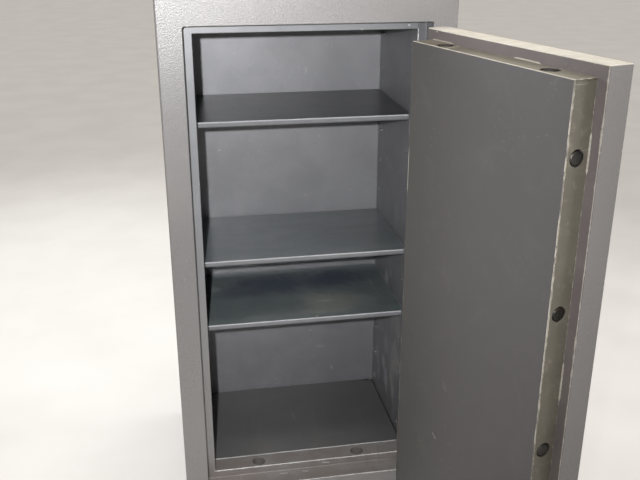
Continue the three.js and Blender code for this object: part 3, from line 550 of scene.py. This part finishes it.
def slab_paint(name):
    """Hammered coat outside, plain thin coat on the inner margin, a pale cream top edge brightened as painted light
    from above.
    """
    g = Graph(name)
    co = closed_co(g)
    x, y, z = g.xyz(co)
    base = HAMMER
    moved = g.vmath("ADD", co, g.vmath("SCALE", g.node_color_noise(130, co), scale=0.0016))
    cells = g.voronoi(540, "SMOOTH_F1", 0.35, moved)
    grain = g.noise(1300, 2, 0.6, 0.0, co)
    height = g.add(g.mul(cells, 1.0), g.mul(grain, 0.4), g.mul(g.noise(160, 2, 0.5, 0.0, co), 0.5))
    rough_n = g.bump(height, 0.30, 0.0009)
    wave = g.noise(8, 4, 0.6, 0.5, co)
    smooth_n = g.bump(g.add(g.mul(g.noise(500, 2, 0.6, 0.0, co), 0.6), g.mul(wave, 1.4)), 0.16, 0.0007)
    broad = g.noise(3.2, 3, 0.55, 0.0, co)
    outer = g.mix(g.span(cells, 0.18, 0.62), tuple(c * 1.12 for c in base), tuple(c * 0.80 for c in base))
    outer = g.mix(g.span(broad, 0.35, 0.7), outer, tuple(c * 0.93 for c in base))
    margin = g.mix(g.span(wave, 0.35, 0.65), MARGIN_A, MARGIN_B)
    inner = g.span(y, -0.2045, -0.2030)
    top = g.mul(g.span(z, 1.2285, 1.2300), g.span(y, -0.2505, -0.2490))
    edges = g.math("MINIMUM", g.add(g.math("ABSOLUTE", g.math("SUBTRACT", z, 1.231)), g.math("ABSOLUTE", g.math("SUBTRACT", y, -0.201))),
                   g.add(g.math("ABSOLUTE", g.math("SUBTRACT", z, 0.080)), g.math("ABSOLUTE", g.math("SUBTRACT", y, -0.201))))
    edges = g.math("MINIMUM", edges, g.add(g.math("ABSOLUTE", g.math("ADD", x, 0.2675)), g.math("ABSOLUTE", g.math("ADD", y, 0.201))))
    edges = g.math("MINIMUM", edges, g.add(g.math("ABSOLUTE", g.math("ADD", x, 0.2675)), g.math("MULTIPLY", g.math("ABSOLUTE", g.math("ADD", y, 0.252)), 0.7)))
    chip = g.noise(62, 4, 0.7, 0.3, co)
    worn = g.mul(g.span(g.math("SUBTRACT", edges, g.mul(g.span(chip, 0.46, 0.70), 0.0020)), 0.0012, 0.0004), 0.8)
    dot = g.segment((0.2297, -0.201, 1.2269), (0.2290, -0.201, 1.2269), 0.0024, co)
    sc = g.scratches(1.0, 53.0, co)
    # painted light: the thick top edge is made pale cream and very bright, as if lit from above
    cream = g.mix(g.span(g.noise(35, 4, 0.6, 0.3, co), 0.40, 0.62), EDGE_A, EDGE_B)
    cream = g.mix(g.mul(g.span(g.add(x, g.mul(g.noise(40, 3, 0.6, 0.3, co), 0.03)), 0.225, 0.275), 0.75), cream, (0.47, 0.44, 0.41))
    col = g.mix(inner, outer, margin)
    col = g.mix(g.mul(top, 0.9), col, cream)
    col = g.mix(g.mul(g.most(g.mul(worn, 0.85), dot, g.mul(sc, 0.3)), 0.85), col, (0.60, 0.57, 0.50))
    sm = g.math("MAXIMUM", inner, top)
    rough = g.mixf(sm, g.add(g.mul(grain, 0.16), g.mul(broad, 0.10), 0.30), g.add(0.38, g.mul(wave, 0.14)))
    nm = g.node("ShaderNodeMix", data_type="VECTOR")
    g.put(nm.inputs[0], sm)
    g.put(nm.inputs[4], rough_n)
    g.put(nm.inputs[5], smooth_n)
    return g.done(col, rough, nm.outputs[1], spec=0.55)


def insulation(name):
    g = Graph(name)
    pores = g.voronoi(160, "F1")
    coarse = g.noise(24, 5, 0.65, 0.3)
    fine = g.noise(340, 3, 0.7)
    col = g.mix(g.span(coarse, 0.3, 0.7), (0.44, 0.42, 0.37), (0.56, 0.54, 0.49))
    col = g.mix(g.span(pores, 0.06, 0.20, 1.0, 0.0), col, (0.24, 0.23, 0.20))
    x, y, z = g.xyz()
    # painted shade: darker where the sill's pockets and the floor leave it open, darkest in the gap by the side walls
    shaded_open_floor = g.mul(g.span(g.math("ABSOLUTE", x), 0.268, 0.266), g.span(z, 0.101, 0.099), g.span(y, 0.187, 0.1855))
    col = g.mix(shaded_open_floor, col, g.mix(coarse, (0.112, 0.103, 0.096), (0.146, 0.136, 0.127)))
    painted_gap_shadow = g.mul(shaded_open_floor, g.span(g.math("ABSOLUTE", x), 0.2570, 0.2585))
    col = g.mix(painted_gap_shadow, col, (0.015, 0.014, 0.013))
    # painted shade under the top bolt holes
    painted_pocket_shade = None
    for px in (-0.159, 0.159):
        dx, dy = g.math("SUBTRACT", x, px), g.math("ADD", y, 0.177)
        r = g.math("SQRT", g.add(g.mul(dx, dx), g.mul(dy, dy)))
        m = g.mul(g.span(r, 0.021, 0.019), g.span(z, 1.20, 1.21))
        painted_pocket_shade = m if painted_pocket_shade is None else g.most(painted_pocket_shade, m)
    col = g.mix(painted_pocket_shade, col, (0.03, 0.028, 0.026))
    height = g.add(g.mul(g.span(pores, 0.02, 0.30), 0.9), g.mul(coarse, 0.8), g.mul(fine, 0.3))
    return g.done(col, g.add(0.84, g.mul(fine, 0.12)), g.bump(height, 0.6, 0.002))


def metal(name, base, dark, rough, door=False, streak=(4, 4, 300), bump=0.12, wear_scale=30, oil=0.0):
    g = Graph(name)
    co = closed_co(g) if door else g.co
    brushed = g.noise(1.0, 3, 0.6, 0.0, g.map(streak, (0, 0, 0), (0, 0, 0), co))
    cloud = g.noise(wear_scale, 4, 0.62, 0.5, co)
    fine = g.noise(800, 2, 0.6, 0.0, co)
    sc = g.scratches(2.0, 61.0, co, 210.0)
    col = g.mix(g.span(cloud, 0.34, 0.68), base, dark)
    col = g.mix(g.mul(sc, 0.3), col, tuple(min(1.0, c * 1.25) for c in base))
    if oil:
        col = g.mix(g.mul(g.span(g.noise(12, 4, 0.6, 1.0, co), 0.52, 0.70), oil), col, (0.16, 0.12, 0.08))
    r = g.add(rough, g.mul(cloud, 0.16), g.mul(brushed, 0.10), g.mul(sc, 0.12))
    height = g.add(g.mul(brushed, 0.6), g.mul(fine, 0.3), g.mul(sc, -0.5), g.mul(cloud, 0.5))
    return g.done(col, r, g.bump(height, bump, 0.0005), 1.0)


# colours, linear
HAMMER = (0.240, 0.231, 0.228)
LINER_A = (0.205, 0.206, 0.216)
LINER_B = (0.235, 0.236, 0.246)
FLOOR_A = (0.092, 0.091, 0.091)
FLOOR_B = (0.112, 0.111, 0.111)
COVER_A = (0.091, 0.088, 0.083)
COVER_B = (0.103, 0.097, 0.099)
MARGIN_A = (0.150, 0.130, 0.128)
MARGIN_B = (0.178, 0.156, 0.152)
# pale cream of the slab's top edge, bright as painted light from above
EDGE_A = (0.80, 0.755, 0.665)
EDGE_B = (0.90, 0.85, 0.75)

M = {
    "shell": hammered("hammered paint", HAMMER),
    "hinge": hammered("hammered paint on hinges", HAMMER, plain=True),
    "hinge_door": hammered("hammered paint on hinge arms", HAMMER, door=True),
    "slab": slab_paint("door slab paint"),
    "liner": liner("liner paint"),
    "shelf_top": shelf_paint("shelf paint top", (0.030, 0.031, 0.033), (0.036, 0.037, 0.040), 0.30, (0.042, 0.044, 0.047), 0.006, calm=0.25, coat=0.04),
    "shelf_mid": shelf_paint("shelf paint middle", (0.110, 0.124, 0.129), (0.138, 0.154, 0.160), 0.26, relief=0.02, calm=0.6),
    "shelf_low": shelf_paint("shelf paint lower", (0.100, 0.120, 0.124), (0.126, 0.147, 0.150), 0.25, relief=0.02, patches=(
        ((-0.060, 0.080, 0.493), 0.120, (0.75, 1.3, 0), (0.048, 0.060, 0.084), 0.85),
        ((0.125, 0.095, 0.493), 0.105, (0.75, 1.3, 0), (0.048, 0.060, 0.084), 0.85),
        ((-0.165, 0.045, 0.493), 0.060, (0.8, 1.2, 0), (0.062, 0.076, 0.096), 0.55),
        ((0.085, -0.060, 0.493), 0.085, (0.75, 1, 0), (0.255, 0.260, 0.225), 0.62),
        ((0.035, -0.105, 0.493), 0.045, (0.8, 1.6, 0), (0.250, 0.250, 0.215), 0.50),
        ((0.070, -0.050, 0.493), 0.016, (0.5, 1.6, 0), (0.330, 0.325, 0.285), 0.55),
        ((0.170, -0.065, 0.493), 0.060, (0.9, 1, 0), (0.215, 0.235, 0.220), 0.45),
        ((-0.050, -0.115, 0.493), 0.090, (0.5, 1.6, 0), (0.190, 0.205, 0.195), 0.40),
        ((-0.215, 0.070, 0.493), 0.022, (1, 1, 0), (0.240, 0.250, 0.240), 0.55),
        ((0.0316, -0.1375, 0.493), 0.0045, (1, 1, 0), (0.520, 0.460, 0.330), 0.95))),
    "floor": floor_paint("floor paint"),
    "cover": cover_paint("cover paint"),
    "strip": inner_door("boltwork strip paint", (0.130, 0.119, 0.094), (0.158, 0.146, 0.116)),
    "fill": insulation("cast insulation"),
    "steel": metal("bright steel", (0.60, 0.61, 0.62), (0.42, 0.43, 0.44), 0.24),
    "steel_door": metal("bright steel on door", (0.60, 0.61, 0.62), (0.42, 0.43, 0.44), 0.24, door=True, oil=0.25),
    "bolts": metal("oiled bolts", (0.090, 0.087, 0.084), (0.036, 0.034, 0.032), 0.36, door=True, oil=0.5),
    "chrome": metal("chrome plate", (0.78, 0.79, 0.80), (0.62, 0.63, 0.64), 0.08, door=True, bump=0.05, wear_scale=22),
    "brass": metal("lock brass", (0.66, 0.50, 0.26), (0.46, 0.34, 0.17), 0.24, door=True, oil=0.3),
}


def finish_of(node):
    if node.startswith(("casing_", "frame_")):
        return "shell"
    if node.startswith(("insulation", "door_filling")):
        return "fill"
    if node.startswith("liner"):
        return "liner"
    if node == "floor_panel":
        return "floor"
    if node.startswith("clip_"):
        return "steel"
    if node == "shelf_top":
        return "shelf_top"
    if node == "shelf_middle":
        return "shelf_mid"
    if node == "shelf_lower":
        return "shelf_low"
    if node.startswith("hinge_knuckle"):
        return "hinge"
    if node.startswith("hinge_arm"):
        return "hinge_door"
    if node.startswith("hinge_pin"):
        return "steel"
    if node in ("door_skin", "door_back_plate"):
        return "slab"
    if node.startswith("boltwork_strip"):
        return "strip"
    if node == "cover_panel":
        return "cover"
    if node in ("handle_lever", "handle_rose", "keyhole_plate", "keyhole_cover"):
        return "chrome"
    if node in ("lock_case", "lock_bolt", "lock_barrel"):
        return "brass"
    if node.startswith("bolt_bar"):
        return "bolts"
    return "steel_door"


# ------------------------------------------------------------------ modifiers
def smoothing_group(angle=35.0):
    t = bpy.data.node_groups.new("smooth under an angle", "GeometryNodeTree")
    t.interface.new_socket("Geometry", in_out="INPUT", socket_type="NodeSocketGeometry")
    t.interface.new_socket("Geometry", in_out="OUTPUT", socket_type="NodeSocketGeometry")
    gi, go = t.nodes.new("NodeGroupInput"), t.nodes.new("NodeGroupOutput")
    f = t.nodes.new("GeometryNodeSetShadeSmooth")
    f.domain = "FACE"
    f.inputs["Shade Smooth"].default_value = True
    e = t.nodes.new("GeometryNodeSetShadeSmooth")
    e.domain = "EDGE"
    e.inputs["Shade Smooth"].default_value = False
    ang = t.nodes.new("GeometryNodeInputMeshEdgeAngle")
    cmp_ = t.nodes.new("FunctionNodeCompare")
    cmp_.data_type = "FLOAT"
    cmp_.operation = "GREATER_THAN"
    cmp_.inputs[1].default_value = math.radians(angle)
    t.links.new(ang.outputs[0], cmp_.inputs[0])
    t.links.new(gi.outputs[0], f.inputs["Geometry"])
    t.links.new(f.outputs[0], e.inputs["Geometry"])
    t.links.new(cmp_.outputs[0], e.inputs["Selection"])
    t.links.new(e.outputs[0], go.inputs[0])
    return t


SMOOTH = smoothing_group()


def dress(obj, material, bevel=0.0006, segments=2, weld=True):
    obj.data.materials.clear()
    obj.data.materials.append(material)
    if weld:
        w = obj.modifiers.new("weld", "WELD")
        w.merge_threshold = 0.00002
        d = obj.modifiers.new("flat", "DECIMATE")
        d.decimate_type = "DISSOLVE"
        d.angle_limit = math.radians(0.6)
    if bevel:
        b = obj.modifiers.new("eased edges", "BEVEL")
        b.width = bevel
        b.segments = segments
        b.limit_method = "ANGLE"
        b.angle_limit = math.radians(38)
        b.use_clamp_overlap = True
        b.miter_outer = "MITER_ARC"
    s = obj.modifiers.new("smooth", "NODES")
    s.node_group = SMOOTH
    n = obj.modifiers.new("normals", "WEIGHTED_NORMAL")
    n.keep_sharp = True
    n.weight = 80
    return obj


BEVELS = {"cover_panel": 0.0008, "floor_panel": 0.0007, "shelf_": 0.0006, "boltwork_": 0.0006, "liner": 0.0, "insulation": 0.0015,
          "door_filling": 0.0015, "hinge_": 0.0010, "handle_lever": 0.0012, "keyhole_plate": 0.0007, "keyhole_cover": 0.0009,
          "drive_cam": 0.0008, "lock_": 0.0006, "bolt_bar": 0.0006, "dog_bar": 0.0006, "clip_": 0.0003}
for node_name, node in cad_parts.items():
    width = next((w for k, w in BEVELS.items() if node_name.startswith(k)), 0.0006)
    dress(node, M[finish_of(node_name)], width, 3 if width > 0.0008 else 2)


def new_object(name, bm, body):
    bmesh.ops.recalc_face_normals(bm, faces=bm.faces)
    me = bpy.data.meshes.new(name)
    bm.to_mesh(me)
    bm.free()
    o = bpy.data.objects.new(name, me)
    coll.objects.link(o)
    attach(o, body)
    return o


def carve(o, cutter_bm):
    """Takes the cutter away from o for good."""
    bmesh.ops.recalc_face_normals(cutter_bm, faces=cutter_bm.faces)
    me = bpy.data.meshes.new("cutter")
    cutter_bm.to_mesh(me)
    cutter_bm.free()
    c = bpy.data.objects.new("cutter", me)
    coll.objects.link(c)
    m = o.modifiers.new("cut", "BOOLEAN")
    m.object = c
    m.operation = "DIFFERENCE"
    m.solver = "EXACT"
    dg = bpy.context.evaluated_depsgraph_get()
    done = bpy.data.meshes.new_from_object(o.evaluated_get(dg))
    o.modifiers.clear()
    o.data = done
    bpy.data.objects.remove(c)
    bpy.data.meshes.remove(me)


def tube(bm, a, b, r, n=40):
    """Closed cylinder from a to b."""
    a, b = Vector(a), Vector(b)
    ax = (b - a).normalized()
    u = ax.orthogonal().normalized()
    v = ax.cross(u)
    rings = []
    for p in (a, b):
        rings.append([bm.verts.new(p + r * (math.cos(t) * u + math.sin(t) * v)) for t in (2 * math.pi * i / n for i in range(n))])
    for i in range(n):
        bm.faces.new((rings[0][i], rings[0][(i + 1) % n], rings[1][(i + 1) % n], rings[1][i]))
    bm.faces.new(rings[0][::-1])
    bm.faces.new(rings[1])


def block(bm, lo, hi):
    v = [bm.verts.new((x, y, z)) for x in (lo[0], hi[0]) for y in (lo[1], hi[1]) for z in (lo[2], hi[2])]
    for f in ((0, 1, 3, 2), (4, 6, 7, 5), (0, 4, 5, 1), (2, 3, 7, 6), (0, 2, 6, 4), (1, 5, 7, 3)):
        bm.faces.new([v[i] for i in f])


# ------------------------------------------------------------------ body shell: casing and door frame welded and painted as one
def shell():
    S = 6

    def loop(xh, z0, z1, y, r):
        pts = []
        for cx, cz, a0 in ((-xh + r, z0 + r, math.pi), (xh - r, z0 + r, 1.5 * math.pi), (xh - r, z1 - r, 0.0), (-xh + r, z1 - r, 0.5 * math.pi)):
            for i in range(S + 1):
                a = a0 + (math.pi / 2) * i / S
                pts.append((cx + r * math.cos(a), y, cz + r * math.sin(a)))
        return pts

    loops = []
    add = lambda *v: loops.append(loop(*v))
    xh, z0, z1, yf, yb = 0.325, 0.0, 1.300, -0.250, 0.250
    R = 0.0045
    add(xh - 0.001, z0 + 0.001, z1 - 0.001, yb, 0.0035)
    add(xh, z0, z1, yb - 0.001, 0.0045)
    add(xh, z0, z1, yf + R, 0.0045)
    for i in range(1, 6):
        a = (math.pi / 2) * i / 5
        d = R * (1 - math.cos(a))
        add(xh - d, z0 + d, z1 - d, yf + R - R * math.sin(a), 0.0045)
    rx, rz0, rz1 = 0.270, 0.077, 1.235
    e = 0.0016
    for i in range(0, 5):
        a = (math.pi / 2) * i / 4
        d = e * (1 - math.sin(a))
        add(rx + d, rz0 - d, rz1 + d, yf + e * (1 - math.cos(a)), 0.0050 + d)
    # inside fold at the stop, then the flange, then round into the return
    f = 0.0015
    for i in range(0, 4):
        a = (math.pi / 2) * i / 3
        d = f * (1 - math.cos(a))
        add(rx - d, rz0 + d, rz1 - d, -0.200 - f + f * math.sin(a), 0.0050)
    ox, oz0, oz1 = 0.2495, 0.0975, 1.2145
    e = 0.0018
    for i in range(0, 5):
        a = (math.pi / 2) * i / 4
        d = e * (1 - math.sin(a))
        add(ox + d, oz0 - d, oz1 + d, -0.200 + e * (1 - math.cos(a)), 0.0016 + d)
    add(ox, oz0, oz1, -0.1536, 0.0016)
    add(ox + 0.0008, oz0 - 0.0008, oz1 + 0.0008, -0.153, 0.0020)
    add(ox + 0.0030, oz0 - 0.0030, oz1 + 0.0030, -0.153, 0.0030)
    add(ox + 0.0030, oz0 - 0.0030, oz1 + 0.0030, -0.197, 0.0030)
    add(rx + 0.0030, rz0 - 0.0030, rz1 + 0.0030, -0.197, 0.0030)
    add(rx + 0.0030, rz0 - 0.0030, rz1 + 0.0030, -0.247, 0.0030)
    add(0.322, 0.003, 1.297, -0.247, 0.0020)
    add(0.322, 0.003, 1.297, 0.247, 0.0020)
    bm = bmesh.new()
    vs = [[bm.verts.new(p) for p in l] for l in loops]
    n = len(vs[0])
    for a, b in zip(vs, vs[1:]):
        for i in range(n):
            bm.faces.new((a[i], a[(i + 1) % n], b[(i + 1) % n], b[i]))
    bm.faces.new(vs[0][::-1])
    bm.faces.new(vs[-1])
    o = new_object("safe_shell", bm, "safe_body")
    cut = bmesh.new()
    y = -0.177
    for x in (-0.159, 0.159):
        tube(cut, (x, y, 1.206), (x, y, 1.224), 0.017)
    for x in (-0.133, 0.133):
        tube(cut, (x, y, 0.088), (x, y, 0.106), 0.017)
    for z in (0.240, 0.520, 0.800, 1.080):
        tube(cut, (-0.258, y, z), (-0.241, y, z), 0.015)
    for z in (0.330, 0.980):
        block(cut, (0.241, y - 0.017, z - 0.020), (0.258, y + 0.017, z + 0.020))
    carve(o, cut)
    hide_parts(*[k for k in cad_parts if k.startswith(("casing_", "frame_"))])
    dress(o, M["shell"], 0.0005, 2, weld=False)
    return o


shell()


# ------------------------------------------------------------------ door slab: pan and back plate welded into one
def slab():
    def prism(bm, pts, lo, hi):
        a = [bm.verts.new((*opened((x, y, lo))[:2], lo)) for x, y in pts]
        b = [bm.verts.new((*opened((x, y, hi))[:2], hi)) for x, y in pts]
        n = len(pts)
        for i in range(n):
            bm.faces.new((a[i], a[(i + 1) % n], b[(i + 1) % n], b[i]))
        bm.faces.new(a[::-1])
        bm.faces.new(b)

    X, Ya, Yb = 0.2675, -0.252, -0.201
    pts = [(-X, Yb)]
    for i in range(0, 9):
        a = math.pi + (math.pi / 2) * i / 8
        pts.append((-X + 0.004 + 0.004 * math.cos(a), Ya + 0.004 + 0.004 * math.sin(a)))
    for i in range(0, 17):
        a = -math.pi / 2 + (math.pi / 2) * i / 16
        pts.append((X - 0.013 + 0.013 * math.cos(a), Ya + 0.020 + 0.020 * math.sin(a)))
    pts += [(X, Ya + 0.030), (X - 0.0004, Ya + 0.036), (X - 0.0012, Yb - 0.010), (X - 0.0022, Yb - 0.006), (X - 0.0034, Yb - 0.0025), (X - 0.005, Yb)]
    bm = bmesh.new()
    prism(bm, pts, 0.080, 1.231)
    o = new_object("door_slab", bm, "door")
    hollow = [(-X + 0.003, Yb - 0.003), (-X + 0.003, Ya + 0.004), (-X + 0.004, Ya + 0.003), (X - 0.016, Ya + 0.003), (X - 0.006, Ya + 0.012), (X - 0.004, Ya + 0.024), (X - 0.008, Yb - 0.003)]
    cut = bmesh.new()
    prism(cut, hollow, 0.083, 1.228)
    carve(o, cut)
    cut = bmesh.new()
    tube(cut, opened((-0.150, -0.262, 0.690)), opened((-0.150, -0.195, 0.690)), 0.012)
    tube(cut, opened((-0.150, -0.262, 0.860)), opened((-0.150, -0.230, 0.860)), 0.007)
    tube(cut, opened((-0.150, -0.230, 0.860)), opened((-0.150, -0.195, 0.860)), 0.009)
    carve(o, cut)
    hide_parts("door_skin", "door_back_plate")
    dress(o, M["slab"], 0.0012, 3, weld=False)
    return o


slab()


# ------------------------------------------------------------------ pressed support lips under the free slots
def lips(side, name):
    bm = bmesh.new()
    used = (0.995, 0.651, 0.479)
    prof = [(-0.0003, -0.0023), (0.0022, -0.0022), (0.0036, -0.0028), (0.0042, -0.0042), (0.0040, -0.0062), (0.0028, -0.0084), (0.0012, -0.0102), (-0.0003, -0.0110)]
    stations = [(-0.0104, 0.0), (-0.0096, 0.45), (-0.0082, 0.80), (-0.0060, 0.97), (0.0, 1.0), (0.0060, 0.97), (0.0082, 0.80), (0.0096, 0.45), (0.0104, 0.0)]
    wall = 0.2625
    for yc in (-0.116, 0.150):
        for k in range(13):
            z = 1.167 - 0.086 * k
            if min(abs(z - u) for u in used) < 0.003:
                continue
            rows = []
            for dy, s in stations:
                row = []
                for d, dz in prof:
                    dd = -0.0003 + (d + 0.0003) * s
                    row.append(bm.verts.new((side * (wall - dd), yc + dy, z + dz)))
                rows.append(row)
            for a, b in zip(rows, rows[1:]):
                for i in range(len(prof) - 1):
                    bm.faces.new((a[i], a[i + 1], b[i + 1], b[i]))
            # back, inside the sheet
            back_a = [r[0] for r in rows]
            back_b = [r[-1] for r in rows]
            for i in range(len(rows) - 1):
                bm.faces.new((back_a[i], back_a[i + 1], back_b[i + 1], back_b[i]))
            bm.faces.new(rows[0])
            bm.faces.new(rows[-1][::-1])
    o = new_object(name, bm, "safe_body")
    dress(o, M["liner"], 0.0, 2, weld=False)
    return o


lips(-1, "support_lips_left")
lips(1, "support_lips_right")


# ------------------------------------------------------------------ weld bead where the boltwork box meets the slab
def bead(name, a, b, r, nrm, seed):
    """A slightly lumpy fillet from a to b (closed-door coordinates)."""
    rr = random.Random(seed)
    a, b = Vector(a), Vector(b)
    ax = (b - a).normalized()
    u = Vector(nrm[0])
    v = Vector(nrm[1])
    steps = max(6, int((b - a).length / 0.0028))
    bm = bmesh.new()
    rings = []
    for i in range(steps + 1):
        t = i / steps
        p = a.lerp(b, t)
        end = min(1.0, min(t, 1 - t) * steps / 2.5 + 0.25)
        k = r * end * (1.0 + 0.16 * math.sin(i * 1.9 + seed) + rr.uniform(-0.10, 0.10))
        ring = []
        for j in range(7):
            th = (math.pi / 2) * j / 6
            q = p + u * (k * (1 - 0.82 * math.sin(th))) + v * (k * (1 - 0.82 * math.cos(th)))
            ring.append(q)
        ring.append(p - u * 0.0002 - v * 0.0002)
        rings.append([bm.verts.new(opened(q)) for q in ring])
    n = len(rings[0])
    for x, y in zip(rings, rings[1:]):
        for i in range(n):
            bm.faces.new((x[i], x[(i + 1) % n], y[(i + 1) % n], y[i]))
    bm.faces.new(rings[0][::-1])
    bm.faces.new(rings[-1])
    return bm


def join_bms(name, bms, body, material):
    whole = bmesh.new()
    for b in bms:
        me = bpy.data.meshes.new("tmp")
        bmesh.ops.recalc_face_normals(b, faces=b.faces)
        b.to_mesh(me)
        b.free()
        whole.from_mesh(me)
        bpy.data.meshes.remove(me)
    o = new_object(name, whole, body)
    dress(o, material, 0.0, 2, weld=False)
    return o


M["bead"] = inner_door("paint on weld beads", (0.33, 0.305, 0.26), (0.43, 0.40, 0.34), (0.56, 0.53, 0.45))
UP, DOWN, IN = (0, 0, 1), (0, 0, -1), (0, 1, 0)
join_bms("door_weld_beads", [
    bead("w1", (0.2440, -0.201, 1.209), (0.1655, -0.201, 1.209), 0.0024, (UP, IN), 1),
    bead("w2", (-0.030, -0.201, 1.209), (-0.105, -0.201, 1.209), 0.0030, (UP, IN), 2),
    bead("w3", (-0.245, -0.201, 1.12), (-0.245, -0.201, 1.05), 0.0030, ((-1, 0, 0), IN), 3),
    bead("w4", (-0.245, -0.201, 0.70), (-0.245, -0.201, 0.62), 0.0030, ((-1, 0, 0), IN), 4),
    bead("w5", (-0.245, -0.201, 0.31), (-0.245, -0.201, 0.385), 0.0030, ((-1, 0, 0), IN), 5),
    bead("w6", (-0.060, -0.201, 0.103), (0.020, -0.201, 0.103), 0.0030, (DOWN, IN), 6),
], "door", M["bead"])


# ------------------------------------------------------------------ stage and light
def disc(name, radius):
    bm = bmesh.new()
    bmesh.ops.create_circle(bm, cap_ends=True, radius=radius, segments=96)
    me = bpy.data.meshes.new(name)
    bm.to_mesh(me)
    bm.free()
    o = bpy.data.objects.new(name, me)
    o.location = (0, 0, -0.0008)
    coll.objects.link(o)
    return o


ground = disc("floor", 45.0)
g = Graph("pale floor")
n1 = g.noise(3.0, 3, 0.5)
g.done(g.mix(g.span(n1, 0.3, 0.7), (0.60, 0.59, 0.575), (0.635, 0.625, 0.61)), g.add(0.72, g.mul(n1, 0.1)), g.bump(g.noise(120, 3), 0.08, 0.001))
ground.data.materials.append(g.mat)

world = bpy.data.worlds.new("studio")
world.use_nodes = True
wt = world.node_tree
bg = wt.nodes["Background"]
bg.inputs[0].default_value = (0.96, 0.98, 1.0, 1)
bg.inputs[1].default_value = WORLD
seen = wt.nodes.new("ShaderNodeBackground")               # a pale studio wall beyond the floor; it gives no light
seen.inputs[0].default_value = (0.54, 0.52, 0.495, 1)
seen.inputs[1].default_value = 1.0
path = wt.nodes.new("ShaderNodeLightPath")
both = wt.nodes.new("ShaderNodeMixShader")
wt.links.new(path.outputs["Is Camera Ray"], both.inputs[0])
wt.links.new(bg.outputs[0], both.inputs[1])
wt.links.new(seen.outputs[0], both.inputs[2])
wt.links.new(both.outputs[0], wt.nodes["World Output"].inputs[0])
scene.world = world


def lamp(kind, name, loc, target, energy, color, size):
    d = bpy.data.lights.new(name, kind)
    d.energy = energy
    d.color = color
    o = bpy.data.objects.new(name, d)
    o.location = loc
    o.rotation_mode = "QUATERNION"
    o.rotation_quaternion = (Vector(target) - Vector(loc)).to_track_quat("-Z", "Y")
    coll.objects.link(o)
    if kind == "AREA":
        d.shape = "DISK"
        d.size = size
    elif kind == "SPOT":
        d.shadow_soft_size = size
        d.spot_size = math.radians(70)
        d.spot_blend = 1.0
    else:
        d.angle = size
    return o


lamp("SPOT", "key", (-0.405, -2.02, 1.50), (-0.29, -0.25, 0.93), KEY, (0.985, 0.985, 1.0), 0.016)
lamp("SUN", "overhead", (0.2, -0.3, 4.0), (0.2, -0.28, 0.0), TOP, (1.0, 0.955, 0.89), math.radians(36))
lamp("AREA", "side", (1.40, -1.35, 1.37), (0.25, -0.25, 1.29), SIDE, (1.0, 0.975, 0.95), 0.4)
lamp("SPOT", "rear", (-1.5, 4.6, 2.6), (0.0, 0.2, 0.6), REAR, (0.97, 0.98, 1.0), 0.7)
lamp("SPOT", "right", (4.6, 0.2, 2.6), (0.3, -0.2, 0.6), RIGHT, (1.0, 0.98, 0.96), 0.7)
lamp("SPOT", "left", (-3.9, 3.1, 2.6), (-0.3, 0.1, 0.6), LEFT, (0.96, 0.98, 1.0), 0.7)
lamp("AREA", "fill", (-1.6, -2.8, 1.3), (0.0, 0.0, 0.6), FILL, (0.93, 0.96, 1.0), 1.8)
